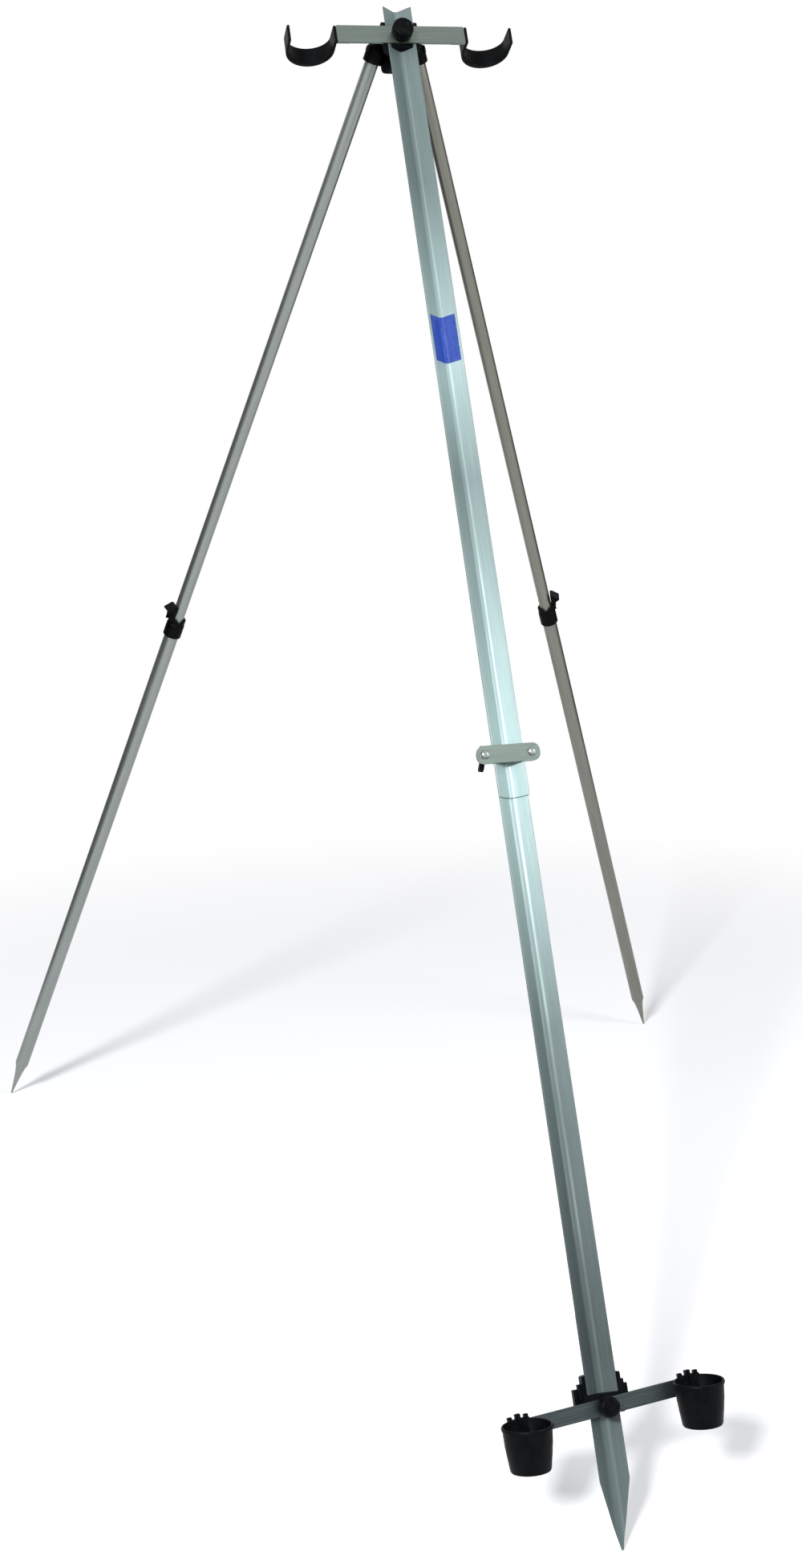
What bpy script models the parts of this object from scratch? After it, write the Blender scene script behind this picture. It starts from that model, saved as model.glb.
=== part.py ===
"""Surf rod tripod: a channel-section front leg in three telescoping sections, two folding
telescoping tube legs with flip-lever collars, a top crossbar with two rod cradles and a
lower crossbar with two butt cups. Metres, +Z up, front leg toward -Y."""

import math

import bmesh
import bpy
from mathutils import Matrix, Vector

# Stance
HEAD_HEIGHT = 1.582
FRONT_REACH = 0.8586
SIDE_SPREAD = 0.5588
SIDE_REACH = 0.5681
SPAN_TRIM = 0.00096

# Fits
GAP = 0.0003
EASE = 0.0003

# Front leg channel
CHANNEL_HALF = 0.0178
CHANNEL_WALL = 0.0018
CHANNEL_ANGLE = math.radians(36.0)
CHANNEL_BEND = 0.006
CHANNEL_STEP_IN = 0.0009
LEG_TOP = -0.042
SEAM_AT = 0.990
LOWER_TOP = 0.800
LOWER_END = 1.6425
SPIKE_TOP = 1.560
SPIKE_SHOULDER = 1.730
SPIKE_TIP = 1.800
SPIKE_BLUNT = 0.0015

# Bolts and bars
STUD_RADIUS = 0.003
BAR_THICK = 0.003
BAR_BACK = GAP
BAR_FRONT = BAR_BACK + BAR_THICK
TOP_BAR_HALF = 0.0825
TOP_BAR_HEIGHT = 0.024
LOWER_BAR_AT = 1.6555
LOWER_BAR_HALF = 0.1040
LOWER_BAR_HEIGHT = 0.017
LOWER_BAR_TILT = math.radians(5.3)

# Knobs
TOP_KNOB_RADIUS = 0.0135
LOWER_KNOB_RADIUS = 0.0110
KNOB_LENGTH = 0.017

# Cradles
CRADLE_HALF = 0.031
CRADLE_ARM = 0.0035
CRADLE_FLOOR = 0.007
CRADLE_DEPTH = 0.050
CRADLE_WIDTH = 0.022

# Cups
CUP_TOP = 0.0270
CUP_BASE = 0.0215
CUP_HEIGHT = 0.047
CUP_WALL = 0.0025
CUP_OFFSET = 0.0325
CUP_AT = 0.0960

# Middle clamp
CLAMP_AT = 0.940
CLAMP_HALF = 0.0375
CLAMP_HEIGHT = 0.021
CLAMP_BOLT = 0.0277
CLAMP_PLATE = 0.0025

# Side legs
PIVOT_X = 0.026
PIVOT_N = -0.031
KNUCKLE_RADIUS = 0.0125
KNUCKLE_FLAT = 0.0110
KNUCKLE_LENGTH = 0.0150
UPPER_TUBE = 0.0090
UPPER_BORE = 0.0078
LOWER_TUBE = 0.0105
LOWER_BORE = UPPER_TUBE + EASE
TUBE_TOP = 0.0075
COLLAR_AT = {-1: 0.845, 1: 0.861}
COLLAR_UP = 0.014
COLLAR_DOWN = 0.016
COLLAR_RADIUS = 0.0132
UPPER_TUBE_END = 1.000
POINT_LENGTH = 0.062
LUG_IN = 0.0043
LUG_OUT = 0.0066
LEVER_PIN_AT = 0.0135
LEVER_PIN_UP = 0.0175
LEVER_PIN_RADIUS = 0.0015
LEVER_SHOULDER = 0.0036
LEVER_BULGE = 0.0096
LEVER_LENGTH = 0.0168
LUG_RADIUS = 0.0030
LEVER_HALF = 0.0084

ALLOY = (0.55, 0.60, 0.59, 1.0)
ALLOY_WARM = (0.52, 0.50, 0.45, 1.0)
STEEL = (0.62, 0.62, 0.60, 1.0)
PLASTIC = (0.016, 0.017, 0.019, 1.0)

for item in list(bpy.data.objects):
    bpy.data.objects.remove(item, do_unlink=True)


def principled(name, colour, roughness, metallic):
    """Make a Principled material."""
    material = bpy.data.materials.new(name)
    material.use_nodes = True
    shader = material.node_tree.nodes["Principled BSDF"]
    shader.inputs["Base Color"].default_value = colour
    shader.inputs["Roughness"].default_value = roughness
    shader.inputs["Metallic"].default_value = metallic
    material.diffuse_color = colour
    return material


def finish_for(name, kind):
    """Return a fresh material of one kind for one node."""
    if kind == "alloy":
        return principled(name + "_alloy", ALLOY, 0.36, 0.95)
    if kind == "warm":
        return principled(name + "_alloy", ALLOY_WARM, 0.34, 0.95)
    if kind == "steel":
        return principled(name + "_steel", STEEL, 0.28, 1.0)
    return principled(name + "_plastic", PLASTIC, 0.42, 0.0)


def add_object(name, bm, frame, kind, smooth=None):
    """Turn a bmesh into a placed object with its own material."""
    bmesh.ops.remove_doubles(bm, verts=bm.verts, dist=1e-7)
    bmesh.ops.recalc_face_normals(bm, faces=bm.faces)
    mesh = bpy.data.meshes.new(name)
    bm.to_mesh(mesh)
    bm.free()
    item = bpy.data.objects.new(name, mesh)
    bpy.context.scene.collection.objects.link(item)
    item.matrix_world = frame
    if kind is not None:
        mesh.materials.append(finish_for(name, kind))
    if smooth is not None:
        shade(mesh, smooth)
    return item


def shade(mesh, angle):
    """Smooth faces and keep edges sharper than the angle hard."""
    mesh.shade_smooth()
    mesh.set_sharp_from_angle(angle=math.radians(angle))


def prism_mesh(outline, low, high):
    """Extrude a closed outline along local Z."""
    bm = bmesh.new()
    bottom = [bm.verts.new((x, y, low)) for x, y in outline]
    top = [bm.verts.new((x, y, high)) for x, y in outline]
    bm.faces.new(list(reversed(bottom)))
    bm.faces.new(top)
    count = len(outline)
    for i in range(count):
        j = (i + 1) % count
        bm.faces.new((bottom[i], bottom[j], top[j], top[i]))
    return bm


def turned_mesh(profile, segments):
    """Turn an (r, z) profile about local Z. A profile that leaves the axis is closed."""
    bm = bmesh.new()
    rings = []
    for radius, height in profile:
        if radius < 1e-9:
            rings.append([bm.verts.new((0.0, 0.0, height))])
        else:
            ring = []
            for i in range(segments):
                turn = 2.0 * math.pi * i / segments
                ring.append(bm.verts.new((radius * math.cos(turn), radius * math.sin(turn), height)))
            rings.append(ring)
    pairs = list(zip(rings[:-1], rings[1:]))
    if len(rings[0]) > 1 and len(rings[-1]) > 1:
        pairs.append((rings[-1], rings[0]))
    for first, second in pairs:
        for i in range(segments):
            j = (i + 1) % segments
            corners = []
            for vert in (first[i % len(first)], first[j % len(first)],
                         second[j % len(second)], second[i % len(second)]):
                if vert not in corners:
                    corners.append(vert)
            if len(corners) > 2:
                bm.faces.new(corners)
    return bm


def box_mesh(low, high):
    """Make a box between two corners."""
    outline = [(low[0], low[1]), (high[0], low[1]), (high[0], high[1]), (low[0], high[1])]
    return prism_mesh(outline, low[2], high[2])


def moved(bm, matrix):
    """Move a bmesh in place and return it."""
    bmesh.ops.transform(bm, matrix=matrix, verts=bm.verts)
    return bm


def combine(item, others, operation):
    """Apply exact booleans of bmeshes in the frame of the item."""
    for bm in others:
        bmesh.ops.recalc_face_normals(bm, faces=bm.faces)
        other = add_object(item.name + "_tool", bm, item.matrix_world.copy(), None)
        step = item.modifiers.new("step", "BOOLEAN")
        step.operation = operation
        step.solver = "EXACT"
        step.object = other
        bpy.context.view_layer.update()
        graph = bpy.context.evaluated_depsgraph_get()
        mesh = bpy.data.meshes.new_from_object(item.evaluated_get(graph))
        item.modifiers.clear()
        old = item.data
        item.data = mesh
        mesh.name = item.name
        bpy.data.meshes.remove(old)
        tool_mesh = other.data
        bpy.data.objects.remove(other, do_unlink=True)
        bpy.data.meshes.remove(tool_mesh)
    return item


def cut(item, *others):
    """Cut shapes out of an item."""
    return combine(item, others, "DIFFERENCE")


def join(item, *others):
    """Unite shapes with an item."""
    return combine(item, others, "UNION")


def soften(item, width, segments=2, angle=35.0):
    """Round the edges of an item."""
    step = item.modifiers.new("soft", "BEVEL")
    step.width = width
    step.segments = segments
    step.limit_method = "ANGLE"
    step.angle_limit = math.radians(angle)
    step.use_clamp_overlap = True
    bpy.context.view_layer.update()
    graph = bpy.context.evaluated_depsgraph_get()
    mesh = bpy.data.meshes.new_from_object(item.evaluated_get(graph))
    item.modifiers.clear()
    old = item.data
    item.data = mesh
    mesh.name = item.name
    bpy.data.meshes.remove(old)
    return item


def along(axis, origin=(0.0, 0.0, 0.0)):
    """Matrix that carries local Z onto an axis of the piece."""
    direction = Vector(axis).normalized()
    turn = direction.to_track_quat("Z", "Y").to_matrix().to_4x4()
    return Matrix.Translation(Vector(origin)) @ turn


def rod(radius, low, high, axis, origin, segments=16):
    """A plain round bar for holes and shafts."""
    bm = turned_mesh([(0.0, low), (radius, low), (radius, high), (0.0, high)], segments)
    return moved(bm, along(axis, origin))


def frame_of(origin, x_axis, y_axis, z_axis):
    """World matrix from an origin and three unit axes."""
    rows = Matrix((x_axis, y_axis, z_axis)).transposed().to_4x4()
    return Matrix.Translation(origin) @ rows


def rounded_box(half_x, half_z, low, high, radius, steps=5):
    """Plate outline in X and Z with round corners, extruded along Y."""
    outline = []
    for cx, cz, start in ((1, 1, 0.0), (-1, 1, 90.0), (-1, -1, 180.0), (1, -1, 270.0)):
        for i in range(steps + 1):
            turn = math.radians(start + 90.0 * i / steps)
            outline.append((cx * (half_x - radius) + radius * math.cos(turn),
                            cz * (half_z - radius) + radius * math.sin(turn)))
    bm = prism_mesh(outline, low, high)
    spin = Matrix(((1, 0, 0, 0), (0, 0, 1, 0), (0, 1, 0, 0), (0, 0, 0, 1)))
    return moved(bm, spin)


# Frames
BEND_CENTRE = (-CHANNEL_HALF * math.tan(CHANNEL_ANGLE)
               + (CHANNEL_BEND + CHANNEL_WALL) / math.cos(CHANNEL_ANGLE))
SPIKE_BACK = CHANNEL_BEND + 2.0 * (CHANNEL_WALL + EASE) + CHANNEL_WALL - BEND_CENTRE
LEAN_SINE = FRONT_REACH / math.hypot(FRONT_REACH, HEAD_HEIGHT)
TOE_LIFT = SPIKE_BACK * LEAN_SINE
CENTRE_Y = (FRONT_REACH - SIDE_REACH) / 2.0 - SPAN_TRIM
HEAD = Vector((0.0, CENTRE_Y, HEAD_HEIGHT + TOE_LIFT))
TOE = Vector((0.0, CENTRE_Y - FRONT_REACH, TOE_LIFT))
DOWN = (TOE - HEAD).normalized()
RIGHT = Vector((1.0, 0.0, 0.0))
NORMAL = DOWN.cross(RIGHT).normalized()
LEG = frame_of(HEAD, RIGHT, NORMAL, DOWN)


def divide(bm, *places):
    """Divide a bar's long faces beside what sits on them."""
    for place in places:
        for side in (-1, 1):
            parts = bm.verts[:] + bm.edges[:] + bm.faces[:]
            bmesh.ops.bisect_plane(bm, geom=parts, plane_co=(side * place, 0, 0), plane_no=(1, 0, 0))
    return bm


def on_leg(distance, turn=0.0):
    """Frame on the front leg at a distance from the head."""
    return LEG @ Matrix.Translation((0.0, 0.0, distance)) @ Matrix.Rotation(turn, 4, "Y")


def channel_radius(section):
    """Inner bend radius of a nested channel section."""
    return CHANNEL_BEND + section * (CHANNEL_WALL + EASE)


def channel_line(radius, x):
    """Height of a wing line that is tangent to a bend radius."""
    return BEND_CENTRE - radius / math.cos(CHANNEL_ANGLE) + math.tan(CHANNEL_ANGLE) * abs(x)


def channel_arc(radius, steps=6):
    """Bend points from the right wing to the left wing."""
    points = []
    for i in range(steps + 1):
        turn = CHANNEL_ANGLE - 2.0 * CHANNEL_ANGLE * i / steps
        points.append((radius * math.sin(turn), BEND_CENTRE - radius * math.cos(turn)))
    return points


def channel_half(section):
    """Half width of a channel section over its lips."""
    return CHANNEL_HALF - section * CHANNEL_STEP_IN


def channel_outline(section, grow=0.0):
    """Closed outline of a channel section, grown all round by a clearance."""
    inner = channel_radius(section) - grow
    outer = channel_radius(section) + CHANNEL_WALL + grow
    half = channel_half(section) + grow
    lip = channel_line(channel_radius(section) + CHANNEL_WALL, channel_half(section)) + grow
    inner_half = (lip - channel_line(inner, 0.0)) / math.tan(CHANNEL_ANGLE)
    shoulder = channel_line(outer, half)
    outline = [(half, lip), (inner_half, lip)]
    outline += channel_arc(inner)
    outline += [(-inner_half, lip), (-half, lip)]
    if shoulder < lip - 1e-6:
        outline.append((-half, shoulder))
    outline += list(reversed(channel_arc(outer)))
    if shoulder < lip - 1e-6:
        outline.append((half, shoulder))
    return outline


def gutter_outline(radius, lip):
    """Solid outline that fills a channel down to a bend radius."""
    half = (lip - channel_line(radius, 0.0)) / math.tan(CHANNEL_ANGLE)
    return [(half, lip), (-half, lip)] + list(reversed(channel_arc(radius)))


def make_channel(name, section, low, high):
    """One section of the front leg."""
    return add_object(name, prism_mesh(channel_outline(section), low, high), LEG, "alloy", 30)


# Front leg sections
upper = make_channel("main_leg_upper", 0, LEG_TOP, SEAM_AT)
cut(upper, rod(STUD_RADIUS + EASE, -0.03, 0.03, (0, 1, 0), (0, 0, 0)))
shade(upper.data, 30)

lower = make_channel("main_leg_lower", 1, LOWER_TOP, LOWER_END)

spike = make_channel("main_leg_spike", 2, SPIKE_TOP, SPIKE_TIP)
spike_half = channel_half(2)
for side in (-1, 1):
    edge = [(side * (spike_half + 0.002), SPIKE_SHOULDER - 0.002 * (SPIKE_TIP - SPIKE_SHOULDER) / spike_half),
            (side * SPIKE_BLUNT, SPIKE_TIP + 0.0001), (side * (spike_half + 0.002), SPIKE_TIP + 0.01)]
    wedge = prism_mesh(edge, -0.05, 0.02)
    swap = Matrix(((1, 0, 0, 0), (0, 0, 1, 0), (0, 1, 0, 0), (0, 0, 0, 1)))
    cut(spike, moved(wedge, swap))
shade(spike.data, 30)

rivet_radius = 0.002
rivet_floor = BEND_CENTRE - channel_radius(2) - CHANNEL_WALL
rivet_top = BEND_CENTRE - channel_radius(1)
for distance in (SPIKE_TOP + 0.015, SPIKE_TOP + 0.045):
    hole = rod(rivet_radius + EASE, -0.04, 0.0, (0, 1, 0), (0, 0, distance), 16)
    cut(spike, hole)
    hole = rod(rivet_radius + EASE, -0.04, rivet_top - 0.0006, (0, 1, 0), (0, 0, distance), 16)
    cut(lower, hole)
shade(spike.data, 30)
shade(lower.data, 30)
for index, distance in enumerate((SPIKE_TOP + 0.015, SPIKE_TOP + 0.045)):
    profile = [(0.0, rivet_floor - 0.0022), (0.0022, rivet_floor - 0.0020), (0.0036, rivet_floor - 0.0010),
               (0.0038, rivet_floor - GAP), (rivet_radius, rivet_floor - GAP),
               (rivet_radius, rivet_top - 0.0009), (0.0, rivet_top - 0.0009)]
    bm = moved(turned_mesh(profile, 16), along((0, 1, 0)))
    add_object("spike_rivet_%d" % (index + 1), bm, on_leg(distance), "steel", 40)

# Head block behind the channel
pivots = {}
for side in (-1, 1):
    pivot = LEG @ Vector((side * PIVOT_X, PIVOT_N, 0.0))
    foot = Vector((side * SIDE_SPREAD, CENTRE_Y + SIDE_REACH, 0.0))
    axis_z = (foot - pivot).normalized()
    axis_x = axis_z.cross(DOWN).normalized()
    axis_y = axis_z.cross(axis_x)
    pivots[side] = (pivot, foot, frame_of(pivot, axis_x, axis_y, axis_z))

to_leg = LEG.inverted()
inward = {}
for side in (-1, 1):
    swing = (to_leg.to_3x3() @ pivots[side][2].to_3x3() @ Vector((1, 0, 0))).normalized()
    inward[side] = swing if swing.x * side < 0 else -swing

jaw_half = CHANNEL_HALF + EASE
jaw_wall = 0.0054
web_reach = 0.0125
face_point = Vector((PIVOT_X, PIVOT_N)) + inward[1].xy * (KNUCKLE_FLAT + GAP)
face_run = Vector((inward[1].y, -inward[1].x))
if face_run.y > 0:
    face_run = -face_run
web_front_y = -0.0185
web_start = face_point + face_run * ((web_front_y - face_point.y) / face_run.y)
web_end = face_point + face_run * web_reach
right_side = [(jaw_half + jaw_wall, 0.0), (jaw_half + jaw_wall, -0.0085), (0.0150, -0.0170),
              (web_start.x, web_front_y - 0.0005)]
saddle = [(x, y) for x, y in right_side]
saddle += [(-x, y) for x, y in reversed(right_side)]
head = add_object("head_block", prism_mesh(saddle, -0.0200, 0.0180), LEG, "plastic")
soften(head, 0.0012)
wedge = [(web_start.x - 0.0008, web_front_y + 0.006), (web_start.x, web_front_y),
         (web_end.x, web_end.y), (-web_end.x, web_end.y), (-web_start.x, web_front_y),
         (-web_start.x + 0.0008, web_front_y + 0.006)]
web = add_object("head_web", prism_mesh(wedge, -0.0150, 0.0250), LEG, None)
soften(web, 0.008, 3, 70)
web_mesh = bmesh.new()
web_mesh.from_mesh(web.data)
bpy.data.objects.remove(web, do_unlink=True)
join(head, web_mesh)
cut(head, prism_mesh(gutter_outline(channel_radius(0) + CHANNEL_WALL + EASE, 0.001), -0.03, 0.03))
cut(head, box_mesh((-CHANNEL_HALF - EASE, -0.0004, -0.03), (CHANNEL_HALF + EASE, 0.002, 0.03)))
cut(head, rod(STUD_RADIUS + EASE, -0.0300, 0.01, (0, 1, 0), (0, 0, 0)))
for side in (-1, 1):
    start = Vector((side * PIVOT_X, PIVOT_N, 0.0))
    cut(head, rod(STUD_RADIUS + EASE, 0.0, KNUCKLE_FLAT + GAP + 0.0060, inward[side], start))
shade(head.data, 35)

insert = add_object("channel_insert",
                    prism_mesh(gutter_outline(channel_radius(0) - EASE, 0.0), -0.0150, 0.0165),
                    LEG, "plastic")
soften(insert, 0.0006)
cut(insert, rod(STUD_RADIUS + EASE, -0.03, 0.01, (0, 1, 0), (0, 0, 0)))
shade(insert.data, 35)

knob_back = BAR_FRONT + GAP
stud_end = knob_back + KNOB_LENGTH - 0.004
add_object("top_stud", rod(STUD_RADIUS, -0.0297, stud_end, (0, 1, 0), (0, 0, 0)), LEG, "steel", 40)


def make_knob(name, frame, radius):
    """A fluted clamping knob with a blind bore."""
    lobes = 15
    around = 60
    heights = [(0.0, 0.70), (0.0026, 0.74), (0.0034, 1.0),
               (KNOB_LENGTH - 0.0036, 1.0), (KNOB_LENGTH - 0.0010, 0.90)]
    bm = bmesh.new()
    rings = []
    for height, share in heights:
        ring = []
        for i in range(around):
            turn = 2.0 * math.pi * i / around
            wave = 0.5 + 0.5 * math.cos(lobes * turn)
            dip = 0.0 if share < 0.80 else 0.0009 * (1.0 - wave)
            ring.append(bm.verts.new(((radius * share - dip) * math.cos(turn), height,
                                      (radius * share - dip) * math.sin(turn))))
        rings.append(ring)
    for share, height in ((0.60, KNOB_LENGTH), (0.52, KNOB_LENGTH - 0.0008)):
        rings.append([bm.verts.new((radius * share * math.cos(2.0 * math.pi * i / around), height,
                                    radius * share * math.sin(2.0 * math.pi * i / around)))
                      for i in range(around)])
    for first, second in zip(rings[:-1], rings[1:]):
        for i in range(around):
            j = (i + 1) % around
            bm.faces.new((first[i], first[j], second[j], second[i]))
    bm.faces.new(rings[0])
    bm.faces.new(list(reversed(rings[-1])))
    knob = add_object(name, bm, frame, "plastic")
    cut(knob, rod(STUD_RADIUS + EASE, -0.01, KNOB_LENGTH - 0.0037, (0, 1, 0), (0, 0, 0)))
    shade(knob.data, 32)
    return knob


make_knob("top_knob", LEG @ Matrix.Translation((0.0, knob_back, 0.0)), TOP_KNOB_RADIUS)


def make_bar(name, frame, half, height, holes, reach, places):
    """A flat bar in front of the leg with a stud hole and rivet holes of a given reach."""
    shape = divide(rounded_box(half, height / 2.0, BAR_BACK, BAR_FRONT, 0.0015), *places)
    bar = add_object(name, shape, frame, "alloy")
    cut(bar, rod(STUD_RADIUS + EASE, -0.01, 0.01, (0, 1, 0), (0, 0, 0)))
    for x in holes:
        cut(bar, rod(rivet_radius + EASE, -0.01, reach, (0, 1, 0), (x, 0, 0), 16))
    shade(bar.data, 30)
    return bar


tab_rivet = TOP_BAR_HALF - 0.0085
make_bar("top_crossbar", LEG, TOP_BAR_HALF, TOP_BAR_HEIGHT, (-tab_rivet, tab_rivet), BAR_FRONT - 0.0006,
         (TOP_KNOB_RADIUS + 0.0030,))


def make_cradle(name, side):
    """A crescent rod cradle with a tab riveted behind the crossbar."""
    steps = 20
    straight = CRADLE_DEPTH - CRADLE_HALF
    inner_half = CRADLE_HALF - CRADLE_ARM
    inner_drop = CRADLE_DEPTH - straight - CRADLE_FLOOR
    outline = [(CRADLE_HALF, 0.0032)]
    for i in range(steps + 1):
        turn = -math.pi * i / steps
        outline.append((CRADLE_HALF * math.cos(turn), -straight + CRADLE_HALF * math.sin(turn)))
    outline.append((-CRADLE_HALF, 0.0032))
    outline += [(-CRADLE_HALF + 0.0008, 0.0045), (-inner_half - 0.0008, 0.0045), (-inner_half, 0.0032)]
    for i in range(steps + 1):
        turn = -math.pi + math.pi * i / steps
        outline.append((inner_half * math.cos(turn), -straight + inner_drop * math.sin(turn)))
    outline += [(inner_half, 0.0032), (inner_half + 0.0008, 0.0045), (CRADLE_HALF - 0.0008, 0.0045)]
    centre = TOP_BAR_HALF + GAP + CRADLE_HALF
    frame = LEG @ Matrix.Translation((side * centre, 0.0, 0.0))
    cradle = add_object(name, prism_mesh(outline, -CRADLE_WIDTH / 2.0, CRADLE_WIDTH / 2.0), frame, "plastic")
    soften(cradle, 0.0009, 2, 50)
    inner = -side * (CRADLE_HALF - 0.0010)
    outer = -side * (CRADLE_HALF + GAP + 0.0170)
    tab = box_mesh((min(inner, outer), -0.0050, -0.0085), (max(inner, outer), 0.0, 0.0085))
    join(cradle, tab)
    hole_x = -side * (centre - tab_rivet)
    cut(cradle, rod(rivet_radius + EASE, -0.01, 0.01, (0, 1, 0), (hole_x, 0, 0), 16))
    shade(cradle.data, 32)
    return cradle


for label, side in (("left", -1), ("right", 1)):
    make_cradle("cradle_" + label, side)
    profile = [(0.0, -0.0073), (0.0020, -0.0071), (0.0034, -0.0063), (0.0036, -0.0050 - GAP),
               (rivet_radius, -0.0050 - GAP), (rivet_radius, BAR_FRONT - 0.0009),
               (0.0, BAR_FRONT - 0.0009)]
    bm = moved(turned_mesh(profile, 16), along((0, 1, 0)))
    add_object("cradle_rivet_" + label, bm, LEG @ Matrix.Translation((side * tab_rivet, 0, 0)), "alloy", 40)

# Middle clamp
clamp_frame = on_leg(CLAMP_AT)
clamp_shape = rounded_box(CLAMP_HALF, CLAMP_HEIGHT / 2.0, GAP, GAP + BAR_THICK, 0.0085, 6)
clamp_bar = add_object("clamp_bar", divide(clamp_shape, CLAMP_BOLT - 0.0075), clamp_frame, "alloy")
for side in (-1, 1):
    cut(clamp_bar, rod(STUD_RADIUS + EASE, -0.01, 0.01, (0, 1, 0), (side * CLAMP_BOLT, 0, 0)))
shade(clamp_bar.data, 30)

hug = channel_radius(1) + CHANNEL_WALL + EASE
hug_out = hug + CLAMP_PLATE
ear_top = channel_line(hug_out, 0.0196)
outline = [(CLAMP_HALF, ear_top), (CLAMP_HALF, ear_top + CLAMP_PLATE)]
ear_in = (ear_top + CLAMP_PLATE - channel_line(hug, 0.0)) / math.tan(CHANNEL_ANGLE)
ear_out = (ear_top - channel_line(hug_out, 0.0)) / math.tan(CHANNEL_ANGLE)
outline.append((ear_in, ear_top + CLAMP_PLATE))
outline += channel_arc(hug)
outline += [(-ear_in, ear_top + CLAMP_PLATE), (-CLAMP_HALF, ear_top + CLAMP_PLATE), (-CLAMP_HALF, ear_top)]
outline.append((-ear_out, ear_top))
outline += list(reversed(channel_arc(hug_out)))
outline.append((ear_out, ear_top))
clamp_back = add_object("clamp_back_plate", prism_mesh(outline, -0.0100, 0.0100), clamp_frame, "alloy")
combine(clamp_back, [rounded_box(CLAMP_HALF - 0.001, CLAMP_HEIGHT / 2.0 - 0.001, -0.05, 0.05, 0.0080, 5)],
        "INTERSECT")
for side in (-1, 1):
    cut(clamp_back, rod(STUD_RADIUS + EASE, -0.03, 0.01, (0, 1, 0), (side * CLAMP_BOLT, 0, 0)))
shade(clamp_back.data, 30)

dome_back = GAP + BAR_THICK + GAP
nut_front = ear_top - GAP
nut_thick = 0.0070
for label, side in (("left", -1), ("right", 1)):
    end = nut_front - nut_thick - 0.0015
    profile = [(0.0, end), (STUD_RADIUS, end), (STUD_RADIUS, dome_back), (0.0052, dome_back),
               (0.0052, dome_back + 0.0008), (0.0044, dome_back + 0.0024), (0.0026, dome_back + 0.0034),
               (0.0, dome_back + 0.0038)]
    bm = moved(turned_mesh(profile, 18), along((0, 1, 0)))
    add_object("clamp_bolt_" + label, bm, clamp_frame @ Matrix.Translation((side * CLAMP_BOLT, 0, 0)),
               "steel", 40)

wing_frame = clamp_frame @ Matrix.Translation((-CLAMP_BOLT, nut_front, 0)) @ Matrix.Rotation(math.radians(-12), 4, "Y")
wing = add_object("clamp_wing_nut",
                  moved(turned_mesh([(0.0, 0.0), (0.0062, 0.0), (0.0056, 0.0075), (0.0, 0.0075)], 24),
                        along((0, -1, 0))), wing_frame, "plastic")
for side in (-1, 1):
    ear = [(-0.0012, side * 0.0024), (-0.0026, side * 0.0052), (-0.0052, side * 0.0140), (-0.0105, side * 0.0155),
           (-0.0124, side * 0.0118), (-0.0088, side * 0.0058), (-0.0064, side * 0.0024)]
    blade = prism_mesh(ear, -0.0028, 0.0028)
    spin = Matrix(((0, 0, 1, 0), (1, 0, 0, 0), (0, 1, 0, 0), (0, 0, 0, 1)))
    blade = moved(blade, spin)
    bmesh.ops.recalc_face_normals(blade, faces=blade.faces)
    join(wing, blade)
cut(wing, rod(STUD_RADIUS + EASE, -0.02, 0.01, (0, 1, 0), (0, 0, 0)))
shade(wing.data, 35)

hexagon = [(0.0055 * math.cos(math.radians(60 * i)), 0.0055 * math.sin(math.radians(60 * i))) for i in range(6)]
nut = add_object("clamp_nut", moved(prism_mesh(hexagon, 0.0, 0.0048), along((0, -1, 0))),
                 clamp_frame @ Matrix.Translation((CLAMP_BOLT, nut_front, 0)), "steel")
cut(nut, rod(STUD_RADIUS + EASE, -0.02, 0.01, (0, 1, 0), (0, 0, 0)))

# Lower bracket and crossbar
bracket_frame = on_leg(LOWER_BAR_AT)
leg_end = LOWER_END - LOWER_BAR_AT
bracket_half = channel_half(1) + EASE + 0.0042
profile = [(bracket_half, 0.0), (bracket_half, -0.0120), (0.0165, -0.0225), (0.0105, -0.0280)]
outline = profile + [(-x, y) for x, y in reversed(profile)]
bracket = add_object("lower_bracket", prism_mesh(outline, leg_end - 0.0200, 0.0080), bracket_frame, "plastic")
soften(bracket, 0.0010, 1)
for side in (-1, 1):
    near = side * (bracket_half - 0.006)
    far = side * (bracket_half + 0.0085)
    ear = box_mesh((min(near, far), -0.0165, leg_end - 0.0070), (max(near, far), -0.0085, 0.0040))
    join(bracket, ear)
    far = side * (bracket_half + 0.0040)
    ear = box_mesh((min(near, far), -0.0110, leg_end - 0.0120), (max(near, far), -0.0050, 0.0040))
    join(bracket, ear)
grip = channel_radius(1) + CHANNEL_WALL + EASE
cut(bracket, prism_mesh(gutter_outline(grip, 0.010), leg_end - 0.05, leg_end + GAP))
cut(bracket, prism_mesh(channel_outline(2, EASE), -0.05, 0.05))
cut(bracket, box_mesh((-0.05, -0.040, -0.05), (-0.0190, -0.0145, leg_end - 0.0130)))
cut(bracket, box_mesh((0.0190, -0.040, -0.05), (0.05, -0.0145, leg_end - 0.0130)))
cut(bracket, rod(STUD_RADIUS + EASE, -0.0095, 0.01, (0, 1, 0), (0, 0, 0)))
shade(bracket.data, 32)
add_object("lower_stud", rod(STUD_RADIUS, -0.0092, stud_end, (0, 1, 0), (0, 0, 0)), bracket_frame, "steel", 40)

lower_frame = on_leg(LOWER_BAR_AT, LOWER_BAR_TILT)
make_bar("lower_crossbar", lower_frame, LOWER_BAR_HALF, LOWER_BAR_HEIGHT, (-CUP_AT, CUP_AT), 0.01,
         (LOWER_KNOB_RADIUS + 0.0030, CUP_AT - 0.0140))
make_knob("lower_knob", lower_frame @ Matrix.Translation((0.0, knob_back, 0.0)), LOWER_KNOB_RADIUS)


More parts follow.
